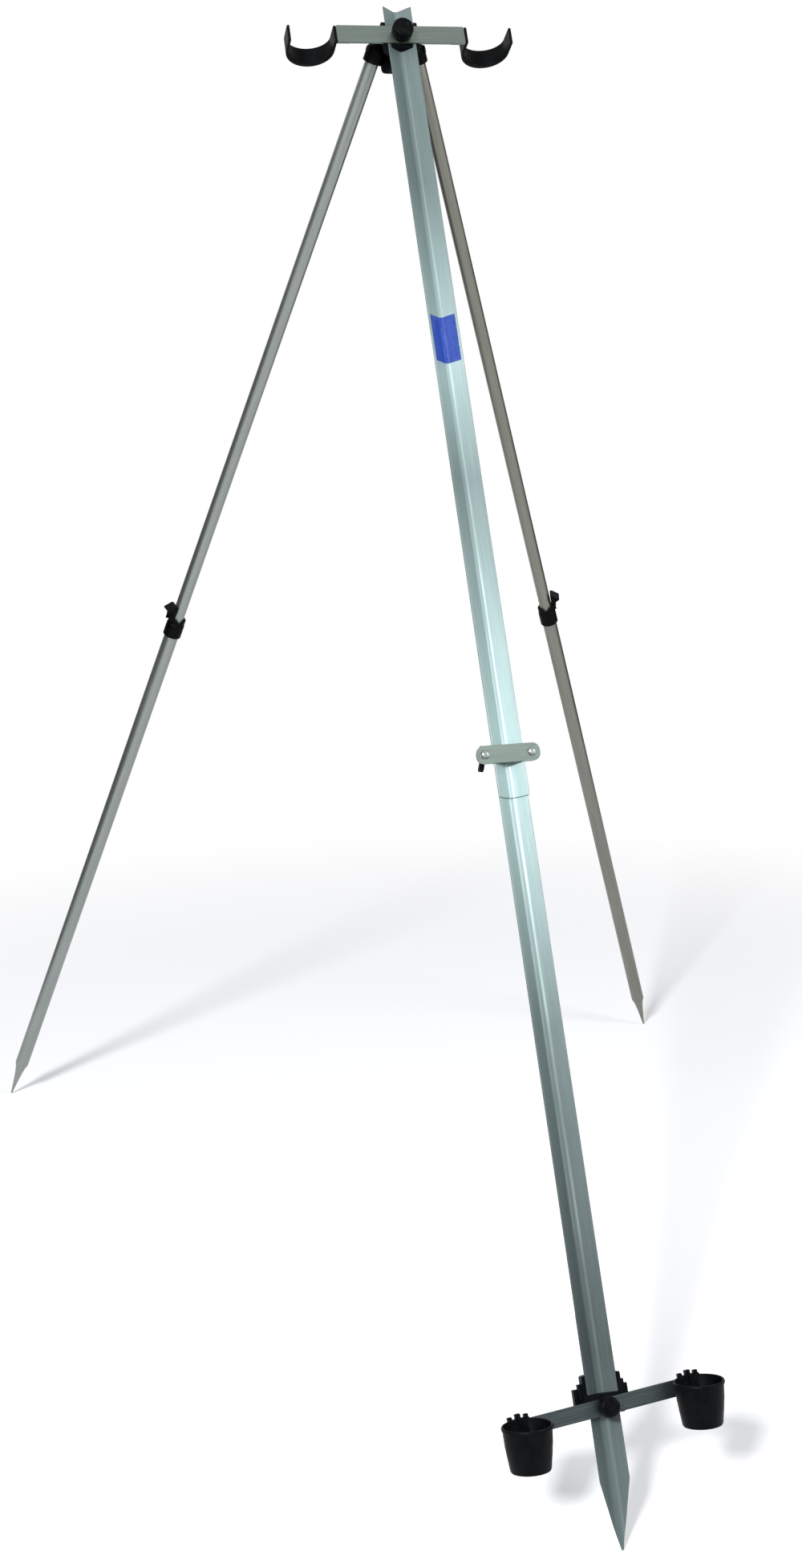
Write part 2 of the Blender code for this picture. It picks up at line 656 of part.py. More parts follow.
def make_cup(name, side):
    """A tapered butt cup with a slotted clip block at its back."""
    frame = lower_frame @ Matrix.Translation((side * CUP_AT, 0.0, 0.0))
    rim = -LOWER_BAR_HEIGHT / 2.0 - 0.0020
    base = rim + CUP_HEIGHT
    profile = [(0.0, base), (CUP_BASE - 0.002, base), (CUP_BASE, base - 0.002),
               (CUP_TOP - 0.0010, rim + 0.0042), (CUP_TOP, rim + 0.0034), (CUP_TOP, rim + 0.0010),
               (CUP_TOP - 0.0010, rim), (CUP_TOP - CUP_WALL, rim + 0.0006),
               (CUP_BASE - CUP_WALL, base - CUP_WALL - 0.001), (CUP_BASE - CUP_WALL - 0.002, base - CUP_WALL),
               (0.0, base - CUP_WALL)]
    upright = Matrix.Rotation(-LOWER_BAR_TILT, 4, "Y")
    bm = moved(turned_mesh(profile, 40), upright @ Matrix.Translation((0.0, CUP_OFFSET, 0.0)))
    cup = add_object(name, bm, frame, "plastic")
    block = box_mesh((-0.0110, -0.0035, rim + 0.0004), (0.0110, 0.0085, -rim + 0.0015))
    join(cup, block)
    for shift in (-0.0085, 0.0, 0.0085):
        tall = 0.0048 if shift == 0.0 else 0.0026
        wide = 0.0030 if shift == 0.0 else 0.0018
        tooth = box_mesh((shift - wide, -0.0020, rim - tall), (shift + wide, 0.0040, rim + 0.0010))
        join(cup, tooth)
    slot = box_mesh((-0.02, BAR_BACK - GAP, -LOWER_BAR_HEIGHT / 2.0 - GAP),
                    (0.02, BAR_FRONT + GAP, LOWER_BAR_HEIGHT / 2.0 + GAP))
    cut(cup, slot)
    cut(cup, rod(rivet_radius + EASE, -0.01, 0.0062, (0, 1, 0), (0, 0, 0), 16))
    shade(cup.data, 35)
    return cup


for label, side in (("left", -1), ("right", 1)):
    make_cup("cup_" + label, side)
    profile = [(0.0, -0.0060), (0.0022, -0.0058), (0.0036, -0.0048), (0.0038, -0.0035 - GAP),
               (rivet_radius, -0.0035 - GAP), (rivet_radius, 0.0059), (0.0, 0.0059)]
    bm = moved(turned_mesh(profile, 16), along((0, 1, 0)))
    add_object("cup_screw_" + label, bm, lower_frame @ Matrix.Translation((side * CUP_AT, 0, 0)), "steel", 40)

# Side legs
for label, side in (("left", -1), ("right", 1)):
    pivot, foot, frame = pivots[side]
    length = (foot - pivot).length
    local_in = frame.to_3x3().inverted() @ (LEG.to_3x3() @ inward[side])
    sign = 1.0 if local_in.x > 0 else -1.0
    kind = "alloy" if side < 0 else "warm"

    steps = 6
    profile = [(0.0, -KNUCKLE_RADIUS)]
    for i in range(1, steps + 1):
        turn = math.pi / 2.0 * i / steps
        profile.append((KNUCKLE_RADIUS * math.sin(turn), -KNUCKLE_RADIUS * math.cos(turn)))
    profile += [(KNUCKLE_RADIUS, KNUCKLE_LENGTH - 0.0010), (KNUCKLE_RADIUS - 0.0008, KNUCKLE_LENGTH),
                (UPPER_TUBE + EASE, KNUCKLE_LENGTH), (UPPER_TUBE + EASE, TUBE_TOP - GAP), (0.0, TUBE_TOP - GAP)]
    knuckle = add_object("leg_knuckle_" + label, turned_mesh(profile, 28), frame, "plastic")
    flat_low = min(sign * KNUCKLE_FLAT, sign * 0.03)
    flat_high = max(sign * KNUCKLE_FLAT, sign * 0.03)
    cut(knuckle, box_mesh((flat_low, -0.03, -0.03), (flat_high, 0.03, 0.03)))
    cut(knuckle, rod(STUD_RADIUS + EASE, -0.03, 0.03, (1, 0, 0), (0, 0, 0)))
    seat = -sign * 0.0098
    seat_low = min(seat, -sign * 0.03)
    seat_high = max(seat, -sign * 0.03)
    cut(knuckle, box_mesh((seat_low, -0.03, -0.03), (seat_high, 0.03, 0.0062)))
    shade(knuckle.data, 35)

    tip = KNUCKLE_FLAT + 0.0057
    head_at = -(0.0098 + GAP)
    profile = [(0.0, tip), (STUD_RADIUS, tip), (STUD_RADIUS, head_at), (0.0056, head_at),
               (0.0056, head_at - 0.0012), (0.0046, head_at - 0.0026), (0.0, head_at - 0.0032)]
    bm = moved(turned_mesh(profile, 18), along((sign, 0, 0)))
    add_object("leg_pin_" + label, bm, frame, "plastic", 40)

    tube = turned_mesh([(UPPER_TUBE, TUBE_TOP), (UPPER_TUBE, UPPER_TUBE_END), (UPPER_BORE, UPPER_TUBE_END),
                        (UPPER_BORE, TUBE_TOP)], 32)
    add_object("side_leg_upper_" + label, tube, frame, kind, 40)

    low_frame = frame @ Matrix.Translation((0.0, 0.0, COLLAR_AT[side]))
    tip_at = length - COLLAR_AT[side]
    cone = tip_at - POINT_LENGTH
    profile = [(LOWER_BORE, -0.0020), (LOWER_TUBE, -0.0020), (LOWER_TUBE, cone), (LOWER_TUBE * 0.80, cone + 0.020),
               (0.0036, tip_at - 0.010), (0.0016, tip_at - 0.0012), (0.0, tip_at),
               (0.0, cone - 0.004), (LOWER_BORE, cone - 0.004)]
    bm = bmesh.new()
    around = 32
    rings = []
    for radius, height in profile:
        if radius < 1e-9:
            rings.append([bm.verts.new((0.0, 0.0, height))])
        else:
            rings.append([bm.verts.new((radius * math.cos(2.0 * math.pi * i / around),
                                        radius * math.sin(2.0 * math.pi * i / around), height))
                          for i in range(around)])
    order = [(0, 1), (1, 2), (2, 3), (3, 4), (4, 5), (5, 6), (7, 8), (8, 0)]
    for a, b in order:
        first, second = rings[a], rings[b]
        for i in range(around):
            j = (i + 1) % around
            corners = []
            for vert in (first[i % len(first)], first[j % len(first)],
                         second[j % len(second)], second[i % len(second)]):
                if vert not in corners:
                    corners.append(vert)
            bm.faces.new(corners)
    add_object("side_leg_lower_" + label, bm, low_frame, kind, 40)

    profile = [(LOWER_TUBE + EASE, COLLAR_DOWN), (COLLAR_RADIUS - 0.0008, COLLAR_DOWN),
               (COLLAR_RADIUS, COLLAR_DOWN - 0.0010), (COLLAR_RADIUS, -0.0040),
               (COLLAR_RADIUS - 0.0007, -0.0052), (COLLAR_RADIUS - 0.0007, -COLLAR_UP + 0.0008),
               (COLLAR_RADIUS - 0.0015, -COLLAR_UP),
               (UPPER_TUBE + EASE, -COLLAR_UP), (UPPER_TUBE + EASE, -0.0023), (LOWER_TUBE + EASE, -0.0023)]
    collar = add_object("leg_collar_" + label, turned_mesh(profile, 32), low_frame, "plastic")
    out = -sign
    turn = Matrix(((1, 0, 0, 0), (0, 0, 1, 0), (0, 1, 0, 0), (0, 0, 0, 1)))
    notch = prism_mesh([(-0.0157, -0.0200), (0.0157, -0.0200), (0.0, -0.0085)], -0.03, 0.03)
    cut(collar, moved(notch, turn))
    near = min(out * 0.0095, out * (LEVER_PIN_AT + 0.0022))
    far = max(out * 0.0095, out * (LEVER_PIN_AT + 0.0022))
    for way in (-1, 1):
        low_y = min(way * LUG_IN, way * LUG_OUT)
        high_y = max(way * LUG_IN, way * LUG_OUT)
        join(collar, box_mesh((near, low_y, -LEVER_PIN_UP - 0.0005), (far, high_y, -0.0090)))
        join(collar, rod(LUG_RADIUS, low_y, high_y, (0, 1, 0), (out * LEVER_PIN_AT, 0, -LEVER_PIN_UP), 20))
    low_x = min(out * 0.005, out * 0.03)
    high_x = max(out * 0.005, out * 0.03)
    cut(collar, box_mesh((low_x, -0.0010, -0.03), (high_x, 0.0010, -0.0026)))
    bore = turned_mesh([(0.0, -0.03), (UPPER_TUBE + EASE, -0.03), (UPPER_TUBE + EASE, -0.0023),
                        (LOWER_TUBE + EASE, -0.0023), (LOWER_TUBE + EASE, 0.03), (0.0, 0.03)], 32)
    cut(collar, bore)
    pin_z = -LEVER_PIN_UP
    cut(collar, rod(LEVER_PIN_RADIUS + EASE, -0.02, 0.02, (0, 1, 0), (out * LEVER_PIN_AT, 0, pin_z), 16))
    shade(collar.data, 35)

    pin_frame = low_frame @ Matrix.Translation((out * LEVER_PIN_AT, 0.0, pin_z))
    add_object("lever_pin_" + label, rod(LEVER_PIN_RADIUS, -LUG_OUT, LUG_OUT, (0, 1, 0), (0, 0, 0), 16),
               pin_frame, "plastic", 40)
    hub = LUG_IN - GAP
    lever = add_object("collar_lever_" + label,
                       moved(turned_mesh([(0.0, -hub), (0.0027, -hub), (0.0027, hub), (0.0, hub)], 24),
                             along((0, 1, 0))), pin_frame, "plastic")
    block = [(LUG_RADIUS, -LEVER_SHOULDER), (LEVER_BULGE, -2.0 * LEVER_SHOULDER), (LEVER_BULGE - 0.0006, -0.0088),
             (0.0004, -LEVER_LENGTH + 0.0006), (-0.0030, -LEVER_LENGTH), (-0.0035, -LEVER_SHOULDER)]
    stem = [(0.0027, -0.0002)] + block + [(-0.0027, -0.0002)]
    for outline, half in ((stem, hub), (block, LEVER_HALF)):
        shape = moved(prism_mesh([(out * x, z) for x, z in outline], -half, half), turn)
        join(lever, shape)
    cut(lever, rod(LEVER_PIN_RADIUS + EASE, -0.02, 0.02, (0, 1, 0), (0, 0, 0), 16))
    shade(lever.data, 35)
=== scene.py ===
"""Looks of a surf rod tripod: one channel leg in front, two tube legs behind, rod cradles and butt cups."""

import logging
import math
from dataclasses import dataclass
from enum import Enum
from typing import Dict, List, Optional, Sequence, Tuple

import bmesh
import bpy
from mathutils import Matrix, Vector


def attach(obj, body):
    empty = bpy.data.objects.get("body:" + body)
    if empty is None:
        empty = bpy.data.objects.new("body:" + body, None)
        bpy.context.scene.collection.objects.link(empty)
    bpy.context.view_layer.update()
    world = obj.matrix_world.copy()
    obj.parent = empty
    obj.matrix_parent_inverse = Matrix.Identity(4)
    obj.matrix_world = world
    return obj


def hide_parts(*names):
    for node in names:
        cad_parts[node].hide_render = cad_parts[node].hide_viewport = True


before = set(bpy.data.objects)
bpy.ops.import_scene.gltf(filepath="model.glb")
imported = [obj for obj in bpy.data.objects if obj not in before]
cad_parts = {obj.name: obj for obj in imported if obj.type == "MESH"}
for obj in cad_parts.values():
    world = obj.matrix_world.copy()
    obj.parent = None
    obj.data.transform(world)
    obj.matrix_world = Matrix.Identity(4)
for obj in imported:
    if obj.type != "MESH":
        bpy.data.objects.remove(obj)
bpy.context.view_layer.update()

LOG = logging.getLogger("rod_tripod")

Colour = Tuple[float, float, float]
Point = Tuple[float, float, float]
Profile = Sequence[Tuple[float, float]]
Inputs = Dict[object, object]
Socket = bpy.types.NodeSocket
Mesh = bpy.types.Mesh

NUMBER = "NodeSocketFloat"
COUNT = "NodeSocketInt"
VECTOR = "NodeSocketVector"
FINISH = "NodeSocketMaterial"
WHITE = (1.0, 1.0, 1.0)

# Main sizes of the stand, in metres
HEAD_HEIGHT = 1.582
FRONT_REACH = 0.8586
SIDE_SPREAD = 0.5588
SIDE_REACH = 0.5681
TOE_LIFT = 0.007294
CENTRE_SHIFT = 0.00096
HEAD_Y = (FRONT_REACH - SIDE_REACH) / 2.0 - CENTRE_SHIFT
LEG_LENGTH = math.hypot(FRONT_REACH, HEAD_HEIGHT)
LEAN_SINE = FRONT_REACH / LEG_LENGTH
LEAN_COSINE = HEAD_HEIGHT / LEG_LENGTH
PIVOT_SIDE = 0.026
PIVOT_BACK = 0.031
LOWER_BAR_AT = 1.6555
LOWER_BAR_TILT = math.radians(5.3)
FOOT_AT = 1.800
KNOB_STAND = 0.0036

# Painted reflection and shade along the front leg's alloy, in broad stretches, as pairs of metres down the
# leg and share of full tone:
# painted dull under the head, pale round the sticker, dull below it, brightest at the middle clamp, dark to
# the foot
LEG_PAINTED_REFLECTION_TONES = ((0.00, 0.40), (0.20, 0.40), (0.45, 0.90), (0.60, 0.50), (0.95, 1.00), (1.25, 0.35), (1.60, 0.15),
             (1.70, 0.25))


class Side(Enum):
    """The two sides of the stand."""

    LEFT = -1
    RIGHT = 1

    @property
    def label(self) -> str:
        """Name of the side in lower case."""
        return self.name.lower()


class Grain(Enum):
    """Which way the drawing lines of a metal run."""

    FRONT_LEG = "front_leg"
    LEFT_LEG = "left_leg"
    RIGHT_LEG = "right_leg"
    TOP_BAR = "top_bar"
    LOWER_BAR = "lower_bar"
    PLAIN = "plain"


def from_columns(*columns: Vector) -> Matrix:
    """Matrix from its three axes and its place, given as columns."""
    rows = [[column[row] for column in columns] for row in range(3)]
    return Matrix((*rows, (0.0, 0.0, 0.0, 1.0)))


def front_frame() -> Matrix:
    """Frame of the front leg: X to the right, Y out of the channel, Z down the leg."""
    return Matrix(((1.0, 0.0, 0.0, 0.0),
                   (0.0, -LEAN_COSINE, -LEAN_SINE, HEAD_Y),
                   (0.0, LEAN_SINE, -LEAN_COSINE, HEAD_HEIGHT + TOE_LIFT),
                   (0.0, 0.0, 0.0, 1.0)))


def on_front_leg(distance: float, turn: float = 0.0) -> Matrix:
    """Frame on the front leg.

    Args:
        distance: Metres down the leg from the head.
        turn: Turn about the leg's outward axis, in radians.

    Returns:
        The frame as a matrix.
    """
    return front_frame() @ Matrix.Translation((0.0, 0.0, distance)) @ Matrix.Rotation(turn, 4, "Y")


def side_frame(side: Side) -> Tuple[Matrix, float]:
    """Frame of a side leg with Z down the tube.

    Args:
        side: Which leg.

    Returns:
        The frame at the pivot, and the length from pivot to foot.
    """
    pivot = front_frame() @ Vector((side.value * PIVOT_SIDE, -PIVOT_BACK, 0.0))
    foot = Vector((side.value * SIDE_SPREAD, HEAD_Y + SIDE_REACH, 0.0))
    down = (foot - pivot).normalized()
    across = down.cross(Vector((0.0, -LEAN_SINE, -LEAN_COSINE))).normalized()
    return from_columns(across, down.cross(across), down, pivot), (foot - pivot).length


def grain_frame(grain: Grain) -> Matrix:
    """Frame whose Z axis runs along the drawing lines of a metal.

    Args:
        grain: The direction by name.

    Returns:
        The frame as a matrix.
    """
    if grain is Grain.LEFT_LEG:
        return side_frame(Side.LEFT)[0]
    if grain is Grain.RIGHT_LEG:
        return side_frame(Side.RIGHT)[0]
    if grain is Grain.TOP_BAR:
        return front_frame() @ Matrix.Rotation(math.pi / 2.0, 4, "Y")
    if grain is Grain.LOWER_BAR:
        return on_front_leg(LOWER_BAR_AT, LOWER_BAR_TILT + math.pi / 2.0)
    if grain is Grain.FRONT_LEG:
        return front_frame()
    return Matrix.Identity(4)


class NodeSheet:
    """A node tree, written a node at a time."""

    def __init__(self, tree: bpy.types.NodeTree) -> None:
        """Takes the tree to write in."""
        self.tree = tree

    def node(self, kind: str, inputs: Optional[Inputs] = None, **settings: object) -> bpy.types.Node:
        """Adds a node.

        Args:
            kind: Type of the node.
            inputs: Sockets or plain values by input name or number.
            settings: Properties of the node.

        Returns:
            The node.
        """
        made = self.tree.nodes.new(kind)
        for key, value in settings.items():
            setattr(made, key, value)
        for key, value in (inputs or {}).items():
            self.feed(value, made.inputs[key])
        return made

    def feed(self, source: object, target: Socket) -> None:
        """Feeds a socket from another socket or a plain value."""
        if isinstance(source, bpy.types.NodeSocket):
            self.tree.links.new(source, target)
        else:
            target.default_value = source

    def sum(self, operation: str, *values: object) -> Socket:
        """One step of arithmetic.

        Args:
            operation: Name of the Math operation.
            values: Sockets or numbers.

        Returns:
            The result.
        """
        return self.node("ShaderNodeMath", dict(enumerate(values)), operation=operation).outputs[0]


class ShaderSheet(NodeSheet):
    """A material's node tree round a Principled shader."""

    MIX_FIRST, MIX_SECOND, MIX_RESULT = 6, 7, 2

    def __init__(self, name: str) -> None:
        """Starts a material with a Principled shader."""
        self.material = bpy.data.materials.new(name)
        self.material.use_nodes = True
        super().__init__(self.material.node_tree)
        self.tree.nodes.clear()
        self.shader = self.node("ShaderNodeBsdfPrincipled")
        self.output = self.node("ShaderNodeOutputMaterial", {"Surface": self.shader.outputs["BSDF"]})

    def finished(self, inputs: Inputs) -> bpy.types.Material:
        """Feeds the Principled shader and gives the material."""
        for key, value in inputs.items():
            self.feed(value, self.shader.inputs[key])
        return self.material

    def noise(self, grain: Grain, size: Point, detail: float = 3.0, rough: float = 0.5) -> Socket:
        """Noise on Object coordinates, turned to a grain.

        Args:
            grain: Direction of the drawing lines.
            size: Feature size across, through and along the grain, in metres.
            detail: Octaves.
            rough: Strength of the finer octaves.

        Returns:
            The value socket.
        """
        return self.node("ShaderNodeTexNoise", {
            "Scale": 1.0, "Detail": detail, "Roughness": rough,
            "Vector": self.object_space(grain, size)}).outputs["Fac"]

    def object_space(self, grain: Grain, size: Point) -> Socket:
        """Object coordinates turned to a grain and divided by a feature size.

        Args:
            grain: Direction of the drawing lines.
            size: Feature size across, through and along the grain, in metres.

        Returns:
            The vector socket to read.
        """
        where = grain_frame(grain)
        coordinates = self.node("ShaderNodeTexCoord").outputs["Object"]
        return self.node("ShaderNodeMapping", {
            "Location": where.translation, "Rotation": where.to_euler(), "Scale": size,
            "Vector": coordinates}, vector_type="TEXTURE").outputs["Vector"]

    def spread(self, value: Socket, low: float, high: float,
               source: Tuple[float, float] = (0.3, 0.7), shape: str = "LINEAR") -> Socket:
        """Stretches a value to a range.

        Args:
            value: Socket to read.
            low: Result at the source's low end.
            high: Result at the source's high end.
            source: Range that is read.
            shape: How the result runs between its ends.

        Returns:
            The stretched socket.
        """
        return self.node("ShaderNodeMapRange", {
            "Value": value, "From Min": source[0], "From Max": source[1], "To Min": low, "To Max": high},
            interpolation_type=shape).outputs["Result"]

    def mix(self, factor: object, first: object, second: object, blend: str = "MIX") -> Socket:
        """Mixes two colours.

        Args:
            factor: Share of the second colour.
            first: Colour or socket.
            second: Colour or socket.
            blend: Way of mixing.

        Returns:
            The mixed colour.
        """
        inputs: Inputs = {"Factor": factor}
        for index, value in ((self.MIX_FIRST, first), (self.MIX_SECOND, second)):
            inputs[index] = value if isinstance(value, bpy.types.NodeSocket) else (*value, 1.0)
        return self.node("ShaderNodeMix", inputs, data_type="RGBA", blend_type=blend).outputs[self.MIX_RESULT]

    def bump(self, height: Socket, depth: float, before: Optional[Socket] = None) -> Socket:
        """Adds a bump of a real depth.

        Args:
            height: Height from 0 to 1.
            depth: Depth in metres.
            before: Normal of an earlier bump.

        Returns:
            The normal socket.
        """
        inputs: Inputs = {"Strength": 1.0, "Distance": depth, "Height": height}
        if before is not None:
            inputs["Normal"] = before
        return self.node("ShaderNodeBump", inputs).outputs["Normal"]


@dataclass(frozen=True)
class DrawnAlloy:
    """Satin anodised alloy with drawing lines along its length, and painted reflection and shade down its
    length where a tone ramp is given.
    """

    name: str
    light: Colour
    dark: Colour
    grain: Grain
    metallic: float = 0.86
    roughness: float = 0.36
    # painted reflection and shade down the piece, as pairs of metres down it and share of full tone
    painted_reflection_tones: Profile = ()
    slot: str = "alloy"
    line_size: Point = (0.0011, 0.0011, 0.09)
    line_depth: float = 0.00004
    cloud_size: Point = (0.02, 0.02, 0.11)
    speck_size: Point = (0.0006, 0.0006, 0.0012)
    speck_depth: float = 0.00001
    speck_gain: float = 1.12

    def add_painted_reflection(self, sheet: ShaderSheet, colour: Socket) -> Socket:
        """Paints reflection and shade into a colour along the piece, as the metal's reflection dulls and
        brightens down it.

        Args:
            sheet: The material's sheet.
            colour: Colour so far.

        Returns:
            The darkened colour.
        """
        metre = (1.0, 1.0, 1.0)
        split = sheet.node("ShaderNodeSeparateXYZ", {"Vector": sheet.object_space(self.grain, metre)})
        share = sheet.spread(split.outputs["Z"], 0.0, 1.0, (0.0, FOOT_AT))
        reflection_ramp = sheet.node("ShaderNodeValToRGB", {"Fac": share})
        stops = reflection_ramp.color_ramp.elements
        while len(stops) < len(self.painted_reflection_tones):
            stops.new(0.5)
        for stop, (place, tone) in zip(stops, self.painted_reflection_tones):
            stop.position = place / FOOT_AT
            stop.color = (tone, tone, tone, 1.0)
        return sheet.mix(1.0, colour, reflection_ramp.outputs["Color"], "MULTIPLY")

    def build(self) -> bpy.types.Material:
        """Makes the material.

        Returns:
            The material.
        """
        sheet = ShaderSheet(self.name)
        lines = sheet.noise(self.grain, self.line_size, 4.0, 0.6)
        cloud = sheet.noise(self.grain, self.cloud_size)
        specks = sheet.noise(self.grain, self.speck_size, 2.0)
        drawn = sheet.mix(sheet.spread(lines, 0.0, 1.0, (0.32, 0.68)), self.dark, self.light)
        stained = sheet.mix(sheet.spread(cloud, 0.0, 0.42, (0.35, 0.75)), drawn, self.dark)
        pale = tuple(min(1.0, value * self.speck_gain) for value in self.light)
        colour = sheet.mix(sheet.spread(specks, 0.0, 0.22, (0.60, 0.72)), stained, pale)
        # painted reflection and shade, multiplied into the colour down the piece
        if self.painted_reflection_tones:
            colour = self.add_painted_reflection(sheet, colour)
        return sheet.finished({
            "Base Color": colour, "Metallic": self.metallic,
            "Roughness": sheet.spread(cloud, self.roughness - 0.06, self.roughness + 0.09),
            "Normal": sheet.bump(specks, self.speck_depth, sheet.bump(lines, self.line_depth))})


@dataclass(frozen=True)
class MouldedPlastic:
    """Black moulded plastic with a fine spark grain and a little dust."""

    name: str
    slot: str = "black_plastic"
    light: Colour = (0.0034, 0.0040, 0.0050)
    dark: Colour = (0.0012, 0.0014, 0.0018)
    dust: Colour = (0.032, 0.034, 0.039)
    roughness: float = 0.42
    gleam: float = 0.05
    spark_size: Point = (0.0007, 0.0007, 0.0007)
    spark_depth: float = 0.00005
    cloud_size: Point = (0.012, 0.012, 0.012)
    cloud_depth: float = 0.00020
    dust_size: Point = (0.0022, 0.0022, 0.0035)

    def build(self) -> bpy.types.Material:
        """Makes the material.

        Returns:
            The material.
        """
        sheet = ShaderSheet(self.name)
        spark = sheet.noise(Grain.PLAIN, self.spark_size, 3.0, 0.6)
        cloud = sheet.noise(Grain.PLAIN, self.cloud_size)
        dust = sheet.noise(Grain.PLAIN, self.dust_size, 4.0, 0.7)
        base = sheet.mix(sheet.spread(cloud, 0.0, 1.0), self.dark, self.light)
        return sheet.finished({
            "Base Color": sheet.mix(sheet.spread(dust, 0.0, 0.14, (0.60, 0.82)), base, self.dust),
            "Roughness": sheet.spread(cloud, self.roughness - 0.05, self.roughness + 0.10),
            "Normal": sheet.bump(cloud, self.cloud_depth, sheet.bump(spark, self.spark_depth)),
            "Metallic": 0.0, "Specular IOR Level": self.gleam})


@dataclass(frozen=True)
class PlatedSteel:
    """Zinc plated steel of studs, bolts and nuts."""

    name: str
    light: Colour = (0.42, 0.44, 0.45)
    dark: Colour = (0.20, 0.215, 0.23)
    roughness: float = 0.30
    bloom_size: Point = (0.0016, 0.0016, 0.0016)
    fine_size: Point = (0.0004, 0.0030, 0.0004)
    fine_depth: float = 0.00003

    def build(self) -> bpy.types.Material:
        """Makes the material.

        Returns:
            The material.
        """
        sheet = ShaderSheet(self.name)
        bloom = sheet.noise(Grain.PLAIN, self.bloom_size, 4.0, 0.6)
        fine = sheet.noise(Grain.FRONT_LEG, self.fine_size, 2.0)
        return sheet.finished({
            "Base Color": sheet.mix(sheet.spread(bloom, 0.0, 1.0), self.dark, self.light),
            "Roughness": sheet.spread(bloom, self.roughness - 0.08, self.roughness + 0.14),
            "Normal": sheet.bump(fine, self.fine_depth), "Metallic": 1.0})


@dataclass(frozen=True)
class BareSticker:
    """A plain blue vinyl sticker that has faded a little."""

    name: str
    slot: str = ""
    light: Colour = (0.022, 0.075, 0.42)
    dark: Colour = (0.010, 0.045, 0.32)
    worn: Colour = (0.30, 0.46, 0.56)
    fade_size: Point = (0.012, 0.012, 0.020)
    scuff_size: Point = (0.0012, 0.0012, 0.006)
    scuff_depth: float = 0.00003

    def build(self) -> bpy.types.Material:
        """Makes the material.

        Returns:
            The material.
        """
        sheet = ShaderSheet(self.name)
        fade = sheet.noise(Grain.FRONT_LEG, self.fade_size)
        scuff = sheet.noise(Grain.FRONT_LEG, self.scuff_size, 4.0, 0.65)
        colour = sheet.mix(sheet.spread(fade, 0.0, 1.0), self.dark, self.light)
        return sheet.finished({
            "Base Color": sheet.mix(sheet.spread(scuff, 0.0, 0.30, (0.58, 0.72)), colour, self.worn),
            "Roughness": sheet.spread(fade, 0.30, 0.46),
            "Normal": sheet.bump(scuff, self.scuff_depth)})


class FormGraph(NodeSheet):
    """A Geometry Nodes tree with named inputs."""

    def __init__(self, name: str, sizes: Dict[str, str]) -> None:
        """Starts a tree.

        Args:
            name: Name of the tree.
            sizes: Input names with their socket types.
        """
        super().__init__(bpy.data.node_groups.new(name, "GeometryNodeTree"))
        sockets = self.tree.interface
        for way in ("INPUT", "OUTPUT"):
            sockets.new_socket("Geometry", in_out=way, socket_type="NodeSocketGeometry")
        self.identifiers = {key: sockets.new_socket(key, in_out="INPUT", socket_type=kind).identifier
                            for key, kind in sizes.items()}
        self.source = self.node("NodeGroupInput")
        self.result = self.node("NodeGroupOutput")

    def size(self, key: str) -> Socket:
        """Socket of a named input."""
        return self.source.outputs[key]

    def point(self, x: object, y: object, z: object) -> Socket:
        """Combines three values to a vector."""
        return self.node("ShaderNodeCombineXYZ", {"X": x, "Y": y, "Z": z}).outputs[0]

    def share(self, value: Socket) -> Socket:
        """Holds a value between 0 and 1."""
        return self.sum("MINIMUM", self.sum("MAXIMUM", value, 0.0), 1.0)

    def joined(self, *parts: Socket) -> Socket:
        """Joins pieces of geometry."""
        both = self.node("GeometryNodeJoinGeometry")
        for part in parts:
            self.feed(part, both.inputs[0])
        return both.outputs[0]

    def close(self, geometry: Socket) -> None:
        """Ends the tree in Realize Instances and Set Material."""
        realize = self.node("GeometryNodeRealizeInstances", {"Geometry": geometry})
        dress = self.node("GeometryNodeSetMaterial", {
            "Geometry": realize.outputs["Geometry"], "Material": self.size("Material")})
        self.feed(dress.outputs["Geometry"], self.result.inputs[0])


